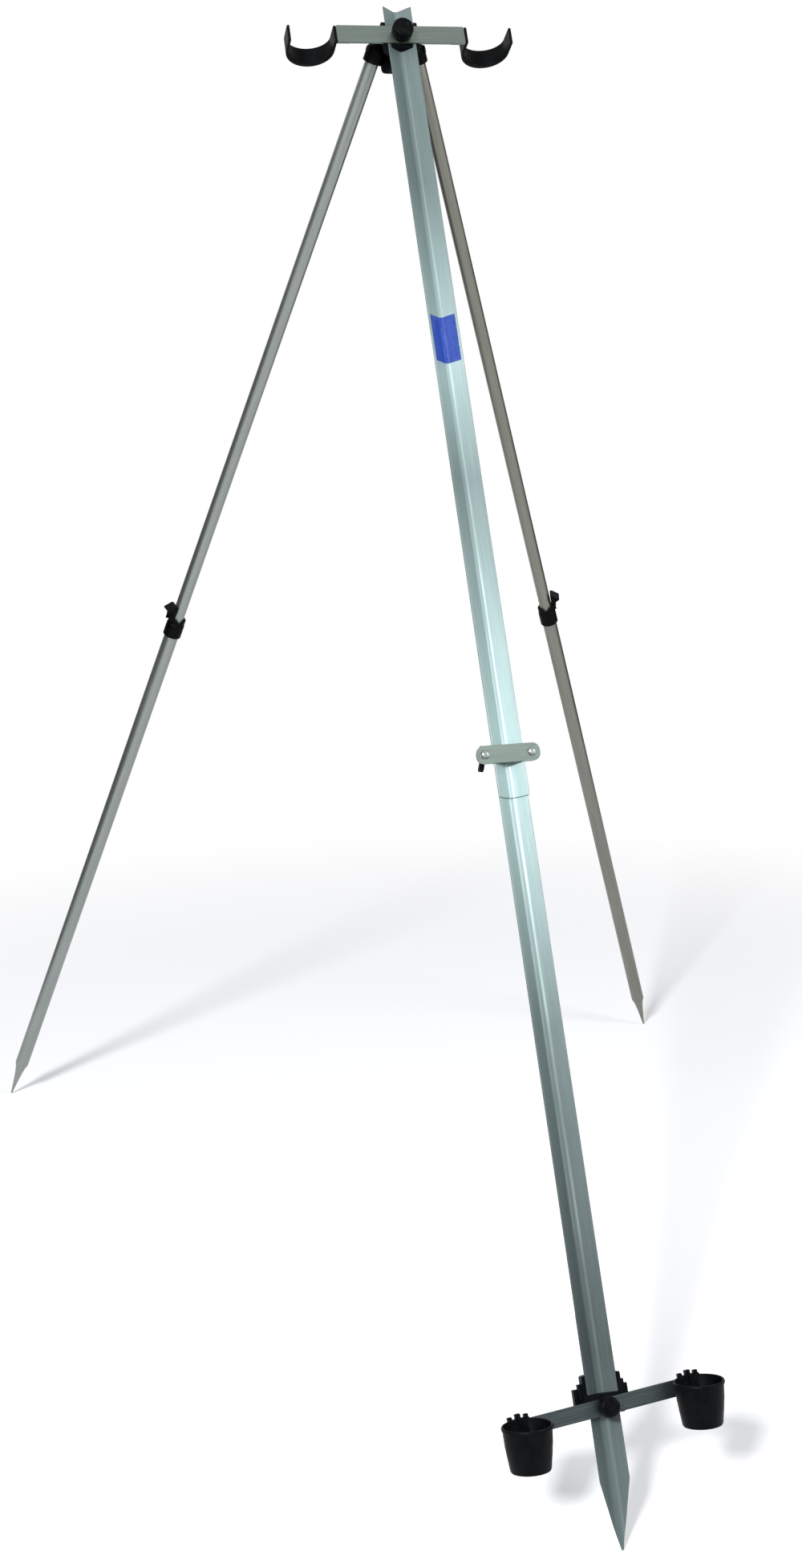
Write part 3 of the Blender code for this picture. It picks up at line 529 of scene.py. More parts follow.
class Forms:
    """The three trees that shape the leg sections, the tubes and the grip ribs."""

    SMALLEST = 0.0001
    MERGE_WITHIN = 0.00001

    def __init__(self) -> None:
        """Builds the trees once."""
        self.channel = self.channel_tree()
        self.tube = self.tube_tree()
        self.ribs = self.rib_tree()

    def channel_tree(self) -> FormGraph:
        """Tree of an angle channel with a rounded bend and a tapered end.

        Returns:
            The tree.
        """
        graph = FormGraph("angle_channel", {
            "Half Width": NUMBER, "Wall": NUMBER, "Wing Angle": NUMBER, "Bend Radius": NUMBER,
            "Bend Centre": NUMBER, "Start": NUMBER, "End": NUMBER, "Shoulder": NUMBER, "Tip Share": NUMBER,
            "Columns": COUNT, "Rows": COUNT, "Material": FINISH})
        step, size = graph.sum, graph.size
        grid = graph.node("GeometryNodeMeshGrid", {
            "Size X": 1.0, "Size Y": 1.0, "Vertices X": size("Columns"), "Vertices Y": size("Rows")})
        position = graph.node("GeometryNodeInputPosition")
        parts = graph.node("ShaderNodeSeparateXYZ", {"Vector": position.outputs[0]})
        along = step("ADD", parts.outputs[1], 0.5)
        length = step("SUBTRACT", size("End"), size("Start"))
        distance = step("ADD", size("Start"), step("MULTIPLY", length, along))
        past = step("SUBTRACT", distance, size("Shoulder"))
        rest = step("MAXIMUM", step("SUBTRACT", size("End"), size("Shoulder")), self.SMALLEST)
        share = graph.share(step("DIVIDE", past, rest))
        loss = step("SUBTRACT", 1.0, size("Tip Share"))
        width = step("SUBTRACT", 1.0, step("MULTIPLY", share, loss))
        half = step("MULTIPLY", size("Half Width"), width)
        across = step("MULTIPLY", step("MULTIPLY", parts.outputs[0], 2.0), half)
        reach = step("ABSOLUTE", across)
        bend = size("Bend Radius")
        cosine = step("COSINE", size("Wing Angle"))
        sine = step("SINE", size("Wing Angle"))
        slope = step("TANGENT", size("Wing Angle"))
        wing = step("SUBTRACT", step("MULTIPLY", slope, reach), step("DIVIDE", bend, cosine))
        under = step("SUBTRACT", step("MULTIPLY", bend, bend), step("MULTIPLY", reach, reach))
        arc = step("MULTIPLY", step("SQRT", step("MAXIMUM", under, 0.0)), -1.0)
        inside = step("LESS_THAN", reach, step("MULTIPLY", bend, sine))
        outside = step("SUBTRACT", 1.0, inside)
        depth = step("ADD", step("MULTIPLY", inside, arc), step("MULTIPLY", outside, wing))
        height = step("ADD", size("Bend Centre"), depth)
        place = graph.node("GeometryNodeSetPosition", {
            "Geometry": grid.outputs["Mesh"], "Position": graph.point(across, height, distance)})
        extrude = graph.node("GeometryNodeExtrudeMesh", {
            "Mesh": place.outputs["Geometry"], "Offset Scale": size("Wall"), "Individual": False})
        flip = graph.node("GeometryNodeFlipFaces", {"Mesh": place.outputs["Geometry"]})
        both = graph.joined(extrude.outputs["Mesh"], flip.outputs["Mesh"])
        merge = graph.node("GeometryNodeMergeByDistance", {"Geometry": both, "Distance": self.MERGE_WITHIN})
        graph.close(merge.outputs["Geometry"])
        return graph

    def tube_tree(self) -> FormGraph:
        """Tree of a tube along a line, with a swaged taper at its end.

        Returns:
            The tree.
        """
        graph = FormGraph("swaged_tube", {
            "Start": VECTOR, "End": VECTOR, "Radius": NUMBER, "Taper From": NUMBER, "Waist Share": NUMBER,
            "Tip Share": NUMBER, "Sides": COUNT, "Steps": COUNT, "Material": FINISH})
        step, size = graph.sum, graph.size
        line = graph.node("GeometryNodeCurvePrimitiveLine", {"Start": size("Start"), "End": size("End")})
        steps = graph.node("GeometryNodeResampleCurve", {"Curve": line.outputs[0], "Count": size("Steps")})
        along = graph.node("GeometryNodeSplineParameter").outputs["Factor"]
        past = step("SUBTRACT", along, size("Taper From"))
        rest = step("MAXIMUM", step("SUBTRACT", 1.0, size("Taper From")), self.SMALLEST)
        share = graph.share(step("DIVIDE", past, rest))
        soft = step("POWER", share, 0.62)
        loss = step("SUBTRACT", 1.0, size("Tip Share"))
        taper = step("SUBTRACT", 1.0, step("MULTIPLY", soft, loss))
        started = step("GREATER_THAN", share, self.SMALLEST)
        waist = step("MULTIPLY", started, step("SUBTRACT", 1.0, size("Waist Share")))
        radius = step("MULTIPLY", taper, step("SUBTRACT", 1.0, waist))
        ring = graph.node("GeometryNodeCurvePrimitiveCircle", {
            "Resolution": size("Sides"), "Radius": size("Radius")})
        sweep = graph.node("GeometryNodeCurveToMesh", {
            "Curve": steps.outputs["Curve"], "Profile Curve": ring.outputs["Curve"], "Scale": radius,
            "Fill Caps": True})
        graph.close(sweep.outputs["Mesh"])
        return graph

    def rib_tree(self) -> FormGraph:
        """Tree that sets grip ribs round a turned body.

        Returns:
            The tree.
        """
        graph = FormGraph("grip_ribs", {
            "Count": COUNT, "Ring Radius": NUMBER, "Rib Radius": NUMBER, "Rib Length": NUMBER,
            "Rib Middle": NUMBER, "Material": FINISH})
        size = graph.size
        ring = graph.node("GeometryNodeMeshCircle", {
            "Vertices": size("Count"), "Radius": size("Ring Radius")})
        lift = graph.node("GeometryNodeTransform", {
            "Geometry": ring.outputs["Mesh"], "Translation": graph.point(0.0, 0.0, size("Rib Middle"))})
        rib = graph.node("GeometryNodeMeshUVSphere", {"Segments": 12, "Rings": 10, "Radius": 1.0})
        half = graph.sum("MULTIPLY", size("Rib Length"), 0.5)
        scale = graph.point(size("Rib Radius"), size("Rib Radius"), half)
        stretch = graph.node("GeometryNodeTransform", {"Geometry": rib.outputs["Mesh"], "Scale": scale})
        place = graph.node("GeometryNodeInstanceOnPoints", {
            "Points": lift.outputs["Geometry"], "Instance": stretch.outputs["Geometry"]})
        graph.close(graph.joined(place.outputs["Instances"], size("Geometry")))
        return graph


def mesh_of(work: bmesh.types.BMesh, name: str) -> Mesh:
    """Keeps a work mesh under a name and frees it."""
    mesh = bpy.data.meshes.new(name)
    work.to_mesh(mesh)
    work.free()
    return mesh


class Workshop:
    """Makes plain meshes of pieces and sets them on the frame."""

    BEVEL_STEPS = 2
    BEVEL_ABOVE = math.radians(40.0)

    def __init__(self) -> None:
        """Builds the trees and opens the list of materials."""
        self.forms = Forms()
        self.finishes: Dict[str, bpy.types.Material] = {}

    def finish(self, finish: object) -> bpy.types.Material:
        """Material of a finish, made once."""
        if finish.name not in self.finishes:
            self.finishes[finish.name] = finish.build()
        return self.finishes[finish.name]

    def grow(self, graph: FormGraph, finish: object, sizes: Dict[str, object],
             base: Optional[Mesh] = None) -> Mesh:
        """Runs a tree and keeps its result as a mesh.

        Args:
            graph: The tree.
            finish: Finish that it sets.
            sizes: Values of its named inputs.
            base: Mesh that the tree starts from.

        Returns:
            The plain mesh.
        """
        holder = bpy.data.objects.new("holder", base or bpy.data.meshes.new("holder"))
        bpy.context.scene.collection.objects.link(holder)
        modifier = holder.modifiers.new("form", "NODES")
        modifier.node_group = graph.tree
        for key, value in {**sizes, "Material": self.finish(finish)}.items():
            modifier[graph.identifiers[key]] = value
        holder.update_tag()
        bpy.context.view_layer.update()
        evaluated = holder.evaluated_get(bpy.context.evaluated_depsgraph_get())
        mesh = bpy.data.meshes.new_from_object(evaluated)
        bpy.data.objects.remove(holder)
        return mesh

    def place(self, name: str, mesh: Mesh, where: Matrix, body: str, finish: object, node: str = "",
              smooth: float = 30.0, bevel: float = 0.0) -> None:
        """Sets a mesh on the frame with its place in its mesh.

        Args:
            name: Name of the piece.
            mesh: The piece in its own frame.
            where: Its frame.
            body: Body that it rides on.
            finish: Its finish.
            node: Node that it stands for, if any.
            smooth: Angle up to which edges shade smooth, in degrees.
            bevel: Width of an edge round, or none.
        """
        work = bmesh.new()
        work.from_mesh(mesh)
        bmesh.ops.transform(work, matrix=where, verts=work.verts)
        bmesh.ops.recalc_face_normals(work, faces=work.faces)
        for face in work.faces:
            face.smooth = True
        for edge in work.edges:
            if len(edge.link_faces) == 2:
                edge.smooth = edge.calc_face_angle(0.0) < math.radians(smooth)
        work.to_mesh(mesh)
        work.free()
        mesh.materials.clear()
        mesh.materials.append(self.finish(finish))
        piece = bpy.data.objects.new(name, mesh)
        bpy.context.scene.collection.objects.link(piece)
        if bevel > 0.0:
            modifier = piece.modifiers.new("edge_round", "BEVEL")
            modifier.width = bevel
            modifier.segments = self.BEVEL_STEPS
            modifier.limit_method = "ANGLE"
            modifier.angle_limit = self.BEVEL_ABOVE
            modifier.harden_normals = True
        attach(piece, body)
        if node:
            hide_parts(node)
        LOG.info("%s rides on %s, %d faces", name, body, len(mesh.polygons))

    def dress(self, finish: object, *nodes: str) -> None:
        """Gives carried-over solids their finish."""
        for node in nodes:
            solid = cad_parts[node]
            solid.data.materials.clear()
            solid.data.materials.append(self.finish(finish))
            LOG.info("%s keeps its solid, finish %s", node, finish.name)


def turned(profile: Profile, segments: int = 64) -> Mesh:
    """Turns a profile round the Z axis.

    Args:
        profile: Pairs of radius and height.
        segments: Steps round.

    Returns:
        A closed mesh where the profile starts and ends on the axis or meets itself.
    """
    on_axis = 1e-7
    work = bmesh.new()
    rings: List[List[bmesh.types.BMVert]] = []
    for radius, height in profile:
        if radius < on_axis:
            rings.append([work.verts.new((0.0, 0.0, height))])
            continue
        rings.append([work.verts.new((radius * math.cos(2.0 * math.pi * step / segments),
                                      radius * math.sin(2.0 * math.pi * step / segments), height))
                      for step in range(segments)])
    for first, second in zip(rings[:-1], rings[1:]):
        for step in range(segments):
            following = (step + 1) % segments
            corners: List[bmesh.types.BMVert] = []
            for vert in (first[step % len(first)], first[following % len(first)],
                         second[following % len(second)], second[step % len(second)]):
                if vert not in corners:
                    corners.append(vert)
            if len(corners) > 2:
                work.faces.new(corners)
    return mesh_of(work, "turned")


# the front leg's alloy, with painted reflection and shade down its length
COOL_ALLOY = DrawnAlloy(
    "cool_drawn_alloy", (0.44, 0.57, 0.575), (0.34, 0.455, 0.46), Grain.FRONT_LEG, 0.55, 0.50, LEG_PAINTED_REFLECTION_TONES)
TOP_BAR_ALLOY = DrawnAlloy("top_bar_alloy", (0.20, 0.24, 0.216), (0.132, 0.168, 0.148), Grain.TOP_BAR)
# painted shade: the lower bar's alloy is a darker copy of the bar alloy, standing for the dull reflection low
# on the stand
LOWER_BAR_SHADED_ALLOY = DrawnAlloy("lower_bar_shaded_alloy", (0.076, 0.092, 0.096), (0.036, 0.048, 0.052), Grain.LOWER_BAR)
CLAMP_ALLOY = DrawnAlloy("clamp_alloy", (0.265, 0.32, 0.29), (0.18, 0.235, 0.208), Grain.TOP_BAR)
TUBE_ALLOYS = {
    Side.LEFT: DrawnAlloy(
        "left_tube_alloy", (0.325, 0.352, 0.335), (0.255, 0.282, 0.266), Grain.LEFT_LEG, 0.80, 0.36),
    Side.RIGHT: DrawnAlloy(
        "right_tube_alloy", (0.255, 0.255, 0.225), (0.19, 0.188, 0.165), Grain.RIGHT_LEG, 0.80, 0.36,
        slot="alloy_warm")}
COLLAR_AT = {Side.LEFT: 0.845, Side.RIGHT: 0.861}
BLACK_MOULDING = MouldedPlastic("black_moulding")
GLOSS_MOULDING = MouldedPlastic("black_knob_moulding", roughness=0.34)
PLATED = PlatedSteel("plated_steel")
STICKER = BareSticker("bare_blue_sticker")


@dataclass
class FrontLeg:
    """Three nested angle channels with a bare sticker."""

    half_width: float = 0.0178
    trim: float = 0.0004
    wall: float = 0.0018
    wing_angle: float = 0.628319
    bend_radius: float = 0.006
    step_in: float = 0.0009
    ease: float = 0.0003
    edge_round: float = 0.0004
    columns: int = 61
    top: float = -0.0412
    seam: float = 0.990
    lower_top: float = 0.800
    lower_end: float = 1.6425
    spike_top: float = 1.560
    spike_shoulder: float = 1.730
    spike_tip: float = 1.800
    sticker_from: float = 0.386
    sticker_to: float = 0.447
    sticker_margin: float = 0.0026
    sticker_wall: float = 0.00016
    sticker_lift: float = 0.00022

    @property
    def bend_centre(self) -> float:
        """Height of the shared bend centre under the lips."""
        rise = (self.bend_radius + self.wall) / math.cos(self.wing_angle)
        return -self.half_width * math.tan(self.wing_angle) + rise

    def section(self, shop: Workshop, name: str, body: str, index: int, start: float, end: float,
                shoulder: float, tip: float, rows: int) -> None:
        """One channel section.

        Args:
            shop: The workshop.
            name: Node that the section stands for.
            body: Body that it rides on.
            index: 0 for the outer section, 2 for the spike.
            start: Top end down the leg.
            end: Bottom end down the leg.
            shoulder: Where a taper starts.
            tip: Share of the width at the end.
            rows: Rows of vertices along the section.
        """
        mesh = shop.grow(shop.forms.channel, COOL_ALLOY, {
            "Half Width": self.half_width - index * self.step_in - self.trim, "Wall": self.wall,
            "Wing Angle": self.wing_angle, "Bend Radius": self.bend_radius + index * (self.wall + self.ease),
            "Bend Centre": self.bend_centre, "Start": start, "End": end, "Shoulder": shoulder,
            "Tip Share": tip, "Columns": self.columns, "Rows": rows})
        shop.place(name + "_look", mesh, front_frame(), body, COOL_ALLOY, name, bevel=self.edge_round)

    def build(self, shop: Workshop) -> None:
        """Makes the sections and the sticker."""
        self.section(shop, "main_leg_upper", "frame", 0, self.top, self.seam, self.seam, 1.0, 24)
        self.section(shop, "main_leg_lower", "lower_leg", 1, self.lower_top, self.lower_end,
                     self.lower_end, 1.0, 20)
        self.section(shop, "main_leg_spike", "lower_leg", 2, self.spike_top, self.spike_tip,
                     self.spike_shoulder, 0.05, 97)
        mesh = shop.grow(shop.forms.channel, STICKER, {
            "Half Width": self.half_width - self.sticker_margin, "Wall": self.sticker_wall,
            "Wing Angle": self.wing_angle, "Bend Radius": self.bend_radius - self.sticker_lift,
            "Bend Centre": self.bend_centre, "Start": self.sticker_from, "End": self.sticker_to,
            "Shoulder": self.sticker_to, "Tip Share": 1.0, "Columns": self.columns, "Rows": 12})
        shop.place("bare_sticker", mesh, front_frame(), "frame", STICKER)


@dataclass
class SideLeg:
    """One telescoping tube leg with its knuckle, collar and flip lever."""

    side: Side
    upper_radius: float = 0.0090
    upper_end: float = 1.0
    lower_radius: float = 0.0105
    point_length: float = 0.062
    point_short: float = 0.0009
    waist: float = 0.96
    tube_top: float = 0.0078
    collar_cover: float = 0.0020

    def tube(self, shop: Workshop, name: str, body: str, radius: float, start: float, end: float,
             taper: float, tip: float) -> None:
        """A tube along the leg.

        Args:
            shop: The workshop.
            name: Node that it stands for.
            body: Body that it rides on.
            radius: Outer radius.
            start: Upper end down the leg.
            end: Lower end down the leg.
            taper: Where the swaged point starts, as a share of the length.
            tip: Share of the radius at the tip.
        """
        alloy = TUBE_ALLOYS[self.side]
        pointed = taper < 1.0
        mesh = shop.grow(shop.forms.tube, alloy, {
            "Start": (0.0, 0.0, start), "End": (0.0, 0.0, end), "Radius": radius, "Taper From": taper,
            "Waist Share": self.waist if pointed else 1.0, "Tip Share": tip, "Sides": 64,
            "Steps": 140 if pointed else 30})
        shop.place(name + "_look", mesh, side_frame(self.side)[0], body, alloy, name)

    def build(self, shop: Workshop) -> None:
        """Makes the tubes and dresses the moulded pieces."""
        label = self.side.label
        _, length = side_frame(self.side)
        start = COLLAR_AT[self.side] - self.collar_cover
        taper = 1.0 - self.point_length / (length - start)
        self.tube(shop, "side_leg_upper_" + label, label + "_leg", self.upper_radius, self.tube_top,
                  self.upper_end, 1.0, 1.0)
        self.tube(shop, "side_leg_lower_" + label, label + "_leg_lower", self.lower_radius, start,
                  length - self.point_short, taper, 0.12)
        for node in ("leg_knuckle_", "leg_collar_", "collar_lever_", "leg_pin_", "lever_pin_"):
            shop.dress(BLACK_MOULDING, node + label)


@dataclass
class Knob:
    """A fluted clamping knob on its stud."""

    node: str
    where: Matrix
    radius: float
    length: float = 0.017
    ribs: int = 22
    rib_radius: float = 0.0013
    round_steps: int = 6

    def build(self, shop: Workshop) -> None:
        """Makes the knob."""
        radius, length = self.radius, self.length
        rim = radius - 0.0006
        face = length - 0.0010
        profile = [(0.0, 0.0), (radius * 0.70, 0.0), (radius * 0.74, 0.0026), (rim, 0.0034)]
        for step in range(self.round_steps + 1):
            turn = math.pi / 2.0 * step / self.round_steps
            profile.append((rim - 0.0030 + 0.0030 * math.cos(turn),
                            length - 0.0026 + 0.0024 * math.sin(turn)))
        profile += [(radius * 0.56, length - 0.0002), (radius * 0.50, face), (0.0, face)]
        mesh = shop.grow(shop.forms.ribs, GLOSS_MOULDING, {
            "Count": self.ribs, "Ring Radius": radius - self.rib_radius, "Rib Radius": self.rib_radius,
            "Rib Length": length - 0.0036, "Rib Middle": length * 0.5 + 0.0008}, turned(profile, 88))
        where = self.where @ Matrix.Translation((0.0, KNOB_STAND, 0.0))
        shop.place(self.node + "_look", mesh, where @ Matrix.Rotation(-math.pi / 2.0, 4, "X"), self.node,
                   GLOSS_MOULDING, self.node, 50.0)


class Head:
    """Head block, crossbar and rod cradles."""

    def build(self, shop: Workshop) -> None:
        """Dresses the solids and makes the knob."""
        shop.dress(BLACK_MOULDING, "head_block", "channel_insert", "cradle_left", "cradle_right")
        shop.dress(TOP_BAR_ALLOY, "top_crossbar", "cradle_rivet_left", "cradle_rivet_right")
        shop.dress(PLATED, "top_stud")
        Knob("top_knob", front_frame(), 0.0135).build(shop)


class MiddleClamp:
    """Clamp bar, back plate, bolts and wing nut."""

    def build(self, shop: Workshop) -> None:
        """Dresses the solids."""
        shop.dress(CLAMP_ALLOY, "clamp_bar", "clamp_back_plate")
        shop.dress(PLATED, "clamp_bolt_left", "clamp_bolt_right", "clamp_nut")
        shop.dress(BLACK_MOULDING, "clamp_wing_nut")


@dataclass
class ButtCup:
    """A tapered butt cup that hangs on the lower bar by its clip block."""

    side: Side
    at: float = 0.096
    offset: float = 0.0325
    top: float = 0.0269
    base: float = 0.0215
    wall: float = 0.0022
    height: float = 0.0465
    foot_round: float = 0.0022
    ring_step: float = 0.0004
    bar_height: float = 0.017
    rim_above_bar: float = 0.0020
    clip_edge_round: float = 0.0006
    lean: float = math.radians(11.0)

    def shell(self) -> Mesh:
        """Turned cup with a rolled rim, two faint rings and a rounded foot."""
        end, foot, inner = self.height, self.height - self.foot_round, self.base - self.wall
        profile = [(0.0, end), (self.base - 0.0028, end), (self.base - 0.0008, end - 0.0006),
                   (self.base, foot)]
        slope = (self.top - self.base) / (end - 0.0060)
        for share in (0.30, 0.62):
            height = foot - share * (end - 0.0082)
            radius = self.base + slope * (foot - height)
            profile += [(radius, height + self.ring_step), (radius + 0.00025, height - self.ring_step)]
        profile += [(self.top - 0.0010, 0.0042), (self.top, 0.0034), (self.top + 0.0002, 0.0016),
                    (self.top - 0.0006, 0.0002), (self.top - 0.0014, 0.0), (self.top - self.wall, 0.0006),
                    (inner, end - self.wall - 0.002), (inner - 0.002, end - self.wall),
                    (0.0, end - self.wall)]
        return turned(profile, 96)

    def clip(self) -> Mesh:
        """Clip block round the bar with its thumb bumps and centre rib."""
        half = self.bar_height / 2.0
        side, front, back, top, foot = 0.0110, -0.0035, 0.0085, -half - self.rim_above_bar, half + 0.0035
        boxes = (
            ((-side, front, top), (side, -0.0004, foot)),
            ((-side, 0.0040, top), (side, back, foot)),
            ((-side, front, top), (side, back, -half - 0.0004)),
            ((-side, front, half + 0.0004), (side, back, foot)),
            ((-0.0112, -0.0022, top - 0.0030), (-0.0066, 0.0042, top + 0.0006)),
            ((0.0066, -0.0022, top - 0.0030), (0.0112, 0.0042, top + 0.0006)),
            ((-0.0028, -0.0020, top - 0.0047), (0.0028, 0.0048, top + 0.0006)),
            ((-0.0013, 0.0060, top - 0.0016), (0.0013, 0.0105, half)))
        work = bmesh.new()
        for low, high in boxes:
            made = bmesh.ops.create_cube(work, size=1.0)
            middle = (Vector(low) + Vector(high)) / 2.0
            scale = Matrix.Diagonal((*(Vector(high) - Vector(low)), 1.0))
            bmesh.ops.transform(work, matrix=Matrix.Translation(middle) @ scale, verts=made["verts"])
        return mesh_of(work, "clip")

    def build(self, shop: Workshop) -> None:
        """Makes the cup and its clip as one look of the node."""
        node = "cup_" + self.side.label
        bar = on_front_leg(LOWER_BAR_AT, LOWER_BAR_TILT)
        bar = bar @ Matrix.Translation((self.side.value * self.at, 0.0, 0.0))
        upright = bar @ Matrix.Rotation(-LOWER_BAR_TILT, 4, "Y")
        hinge = Matrix.Translation((0.0, self.offset - self.top, -self.bar_height / 2.0 - self.rim_above_bar))
        lean = hinge @ Matrix.Rotation(self.lean, 4, "X") @ Matrix.Translation((0.0, self.top, 0.0))
        shop.place(node + "_look", self.shell(), upright @ lean, "butt_rest", BLACK_MOULDING, node, 40.0)
        shop.place(node + "_clip", self.clip(), bar, "butt_rest", BLACK_MOULDING, node,
                   bevel=self.clip_edge_round)


class ButtRest:
    """Lower bracket, crossbar and butt cups."""

    def build(self, shop: Workshop) -> None:
        """Dresses the solids and makes the cups and the knob."""
        shop.dress(BLACK_MOULDING, "lower_bracket")
        for side in Side:
            ButtCup(side).build(shop)
        # the lower crossbar takes the darker alloy with painted shade
        shop.dress(LOWER_BAR_SHADED_ALLOY, "lower_crossbar")
        shop.dress(PLATED, "lower_stud", "spike_rivet_1", "spike_rivet_2", "cup_screw_left",
                   "cup_screw_right")
        Knob("lower_knob", on_front_leg(LOWER_BAR_AT, LOWER_BAR_TILT), 0.0110, ribs=18).build(shop)


@dataclass
class Studio:
    """Floor, backdrop, lamps and camera."""

    lens_pixels: float = 2408.08
    tall_pixels: float = 1954.0
    sensor: float = 36.0
    clip: Tuple[float, float] = (0.05, 60.0)
    place: Point = (-0.62135, -2.3605, 1.2621)
    yaw: float = 0.23636
    pitch: float = 0.2432
    roll: float = -0.01914
    floor_half: float = 9.0
    floor_drop: float = 0.0006
    floor_colour: Colour = (0.90, 0.91, 0.94)
    floor_glow: float = 0.37
    far_glow: float = 1.02
    fade: Tuple[float, float] = (1.1, 2.4)
    world_light: float = 0.17
    world_seen: float = 1.0
    card_colour: Colour = (0.03, 0.035, 0.035)
    card_size: Tuple[float, float] = (2.6, 2.0)

    def camera(self) -> None:
        """Sets the camera at the photograph's angle."""
        level_share = math.cos(self.pitch)
        forward = Vector((math.sin(self.yaw) * level_share, math.cos(self.yaw) * level_share,
                          -math.sin(self.pitch)))
        level = Vector((math.cos(self.yaw), -math.sin(self.yaw), 0.0))
        upright = level.cross(forward)
        right = level * math.cos(self.roll) + upright * math.sin(self.roll)
        top = upright * math.cos(self.roll) - level * math.sin(self.roll)
        data = bpy.data.cameras.new("photo_camera")
        data.sensor_fit = "AUTO"
        data.sensor_width = self.sensor
        data.lens = self.lens_pixels / self.tall_pixels * self.sensor
        data.clip_start, data.clip_end = self.clip
        camera = bpy.data.objects.new("photo_camera", data)
        bpy.context.scene.collection.objects.link(camera)
        camera.matrix_world = from_columns(right, top, -forward, Vector(self.place))
        bpy.context.scene.camera = camera

    def lamp(self, name: str, place: Point, target: Point, size: float, power: float,
             colour: Colour = WHITE) -> None:
        """A soft square lamp.

        Args:
            name: Name of the lamp.
            place: Where it stands.
            target: Where it points.
            size: Width and height.
            power: Power in watts.
            colour: Light colour.
        """
        data = bpy.data.lights.new(name, "AREA")
        data.shape = "RECTANGLE"
        data.size = data.size_y = size
        data.energy = power
        data.color = colour
        lamp = bpy.data.objects.new(name, data)
        bpy.context.scene.collection.objects.link(lamp)
        lamp.location = place
        lamp.rotation_euler = (Vector(target) - Vector(place)).to_track_quat("-Z", "Y").to_euler()

    @staticmethod
    def seen(sheet: NodeSheet) -> Socket:
        """Finds the rays that see the background: the camera's, and those of metal and glass.

        Args:
            sheet: Sheet to add the nodes to.

        Returns:
            A socket that is 1 for such a ray and 0 for others.
        """
        path = sheet.node("ShaderNodeLightPath")
        result = path.outputs["Is Camera Ray"]
        for ray in ("Is Glossy Ray", "Is Transmission Ray"):
            result = sheet.sum("MAXIMUM", result, path.outputs[ray])
        return result

    @staticmethod
    def glow(sheet: ShaderSheet, seen: Socket, level: float, colour: Colour) -> Socket:
        """Light that only the rays that see the background find on the floor.

        Args:
            sheet: The material's sheet.
            seen: Socket that is 1 for the rays that see the background.
            level: Strength for those rays.
            colour: Its colour.

        Returns:
            The shader socket.
        """
        return sheet.node("ShaderNodeEmission", {
            "Color": (*colour, 1.0), "Strength": sheet.sum("MULTIPLY", seen, level)}).outputs[0]

    def floor_material(self) -> bpy.types.Material:
        """Pale floor that takes shadows near the object and fades to white far from it.

        Returns:
            The material.
        """
        sheet = ShaderSheet("pale_floor")
        sheet.tree.nodes.remove(sheet.shader)
        diffuse = sheet.node("ShaderNodeBsdfDiffuse", {"Color": (*self.floor_colour, 1.0)})
        seen = self.seen(sheet)
        near = sheet.node("ShaderNodeAddShader", {
            0: diffuse.outputs[0], 1: self.glow(sheet, seen, self.floor_glow, self.floor_colour)})
        coordinates = sheet.node("ShaderNodeTexCoord").outputs["Object"]
        length = sheet.node("ShaderNodeVectorMath", {0: coordinates}, operation="LENGTH")
        fade = sheet.spread(length.outputs["Value"], 0.0, 1.0, self.fade, "SMOOTHSTEP")
        mixed = sheet.node("ShaderNodeMixShader", {
            0: fade, 1: near.outputs[0], 2: self.glow(sheet, seen, self.far_glow, WHITE)})
        sheet.feed(mixed.outputs[0], sheet.output.inputs["Surface"])
        return sheet.material

    @staticmethod
    def panel(name: str, corners: Sequence[Point], material: bpy.types.Material) -> bpy.types.Object:
        """Sets up one flat face of the set.

        Args:
            name: Its name.
            corners: Its corners in order.
            material: Its material.

        Returns:
            The object.
        """
        work = bmesh.new()
        work.faces.new([work.verts.new(corner) for corner in corners])
        mesh = mesh_of(work, name)
        mesh.materials.append(material)
        panel = bpy.data.objects.new(name, mesh)
        bpy.context.scene.collection.objects.link(panel)
        return panel

    def floor(self) -> None:
        """Lays a pale floor that keeps the object's shadow."""
        half, height = self.floor_half, -self.floor_drop
        corners = ((-half, -half, height), (half, -half, height), (half, half, height), (-half, half, height))
        self.panel("pale_floor", corners, self.floor_material())

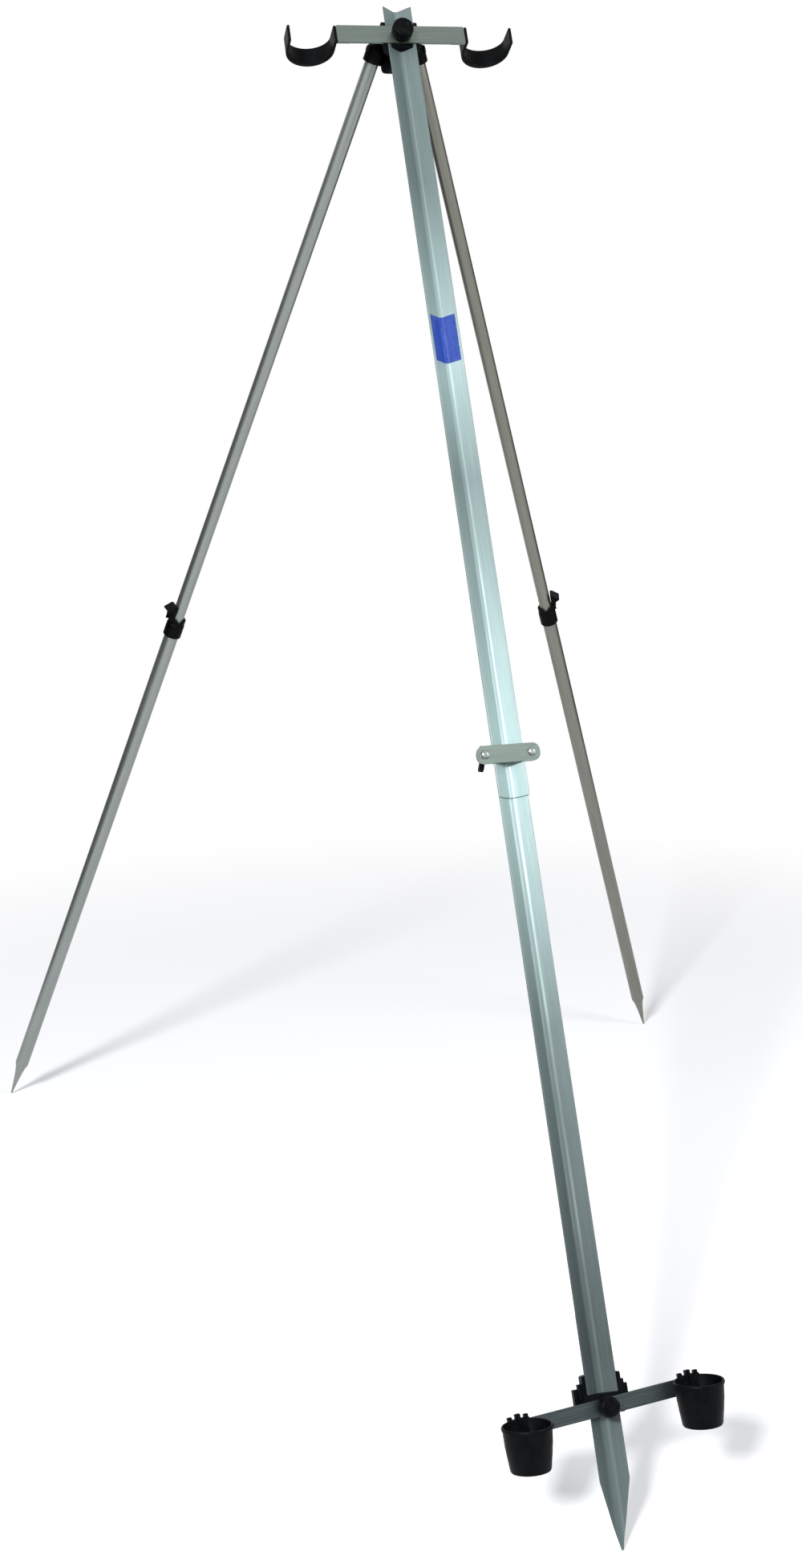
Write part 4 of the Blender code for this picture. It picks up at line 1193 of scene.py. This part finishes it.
    def card(self, name: str, place: Point) -> None:
        """Stands a dark card beside the set, which only the metal's reflections see.

        Args:
            name: Name of the card.
            place: Its middle.
        """
        half, tall = self.card_size[0] / 2.0, self.card_size[1] / 2.0
        corners = ((0.0, -half, -tall), (0.0, half, -tall), (0.0, half, tall), (0.0, -half, tall))
        material = ShaderSheet(name).finished({"Base Color": (*self.card_colour, 1.0), "Roughness": 0.9})
        card = self.panel(name, corners, material)
        card.location = place
        card.visible_camera = False
        card.visible_diffuse = False
        card.visible_shadow = False

    def world(self) -> None:
        """Sets a white world for the camera and a soft grey one for the object."""
        world = bpy.data.worlds.new("studio")
        bpy.context.scene.world = world
        world.use_nodes = True
        sheet = NodeSheet(world.node_tree)
        sheet.tree.nodes.clear()
        level = sheet.node("ShaderNodeMapRange", {
            "To Min": self.world_light, "To Max": self.world_seen, "Value": self.seen(sheet)})
        background = sheet.node("ShaderNodeBackground", {
            "Color": (*WHITE, 1.0), "Strength": level.outputs["Result"]})
        sheet.node("ShaderNodeOutputWorld", {"Surface": background.outputs[0]})

    def build(self) -> None:
        """Sets up the whole studio."""
        bpy.context.scene.view_settings.view_transform = "Standard"
        self.camera()
        self.floor()
        self.world()
        self.lamp("key_softbox", (-3.4, -4.9, 4.7), (0.0, -0.1, 0.3), 1.0, 455.0)
        self.lamp("right_softbox", (2.3, -2.0, 2.1), (0.0, -0.1, 0.85), 1.2, 44.0, (1.0, 0.99, 0.96))
        self.card("left_card", (-1.35, 1.0, 1.0))
        self.card("right_card", (2.1, 1.6, 1.0))
        self.lamp("overhead_softbox", (-0.2, 0.9, 3.8), (0.0, -0.1, 0.0), 2.0, 3.0)


def main() -> None:
    """Builds the sub-assemblies in order and sets up the studio."""
    logging.basicConfig(level=logging.INFO, format="%(message)s")
    shop = Workshop()
    FrontLeg().build(shop)
    Head().build(shop)
    MiddleClamp().build(shop)
    ButtRest().build(shop)
    for side in Side:
        SideLeg(side).build(shop)
    Studio().build()


if __name__ == "__main__":
    main()
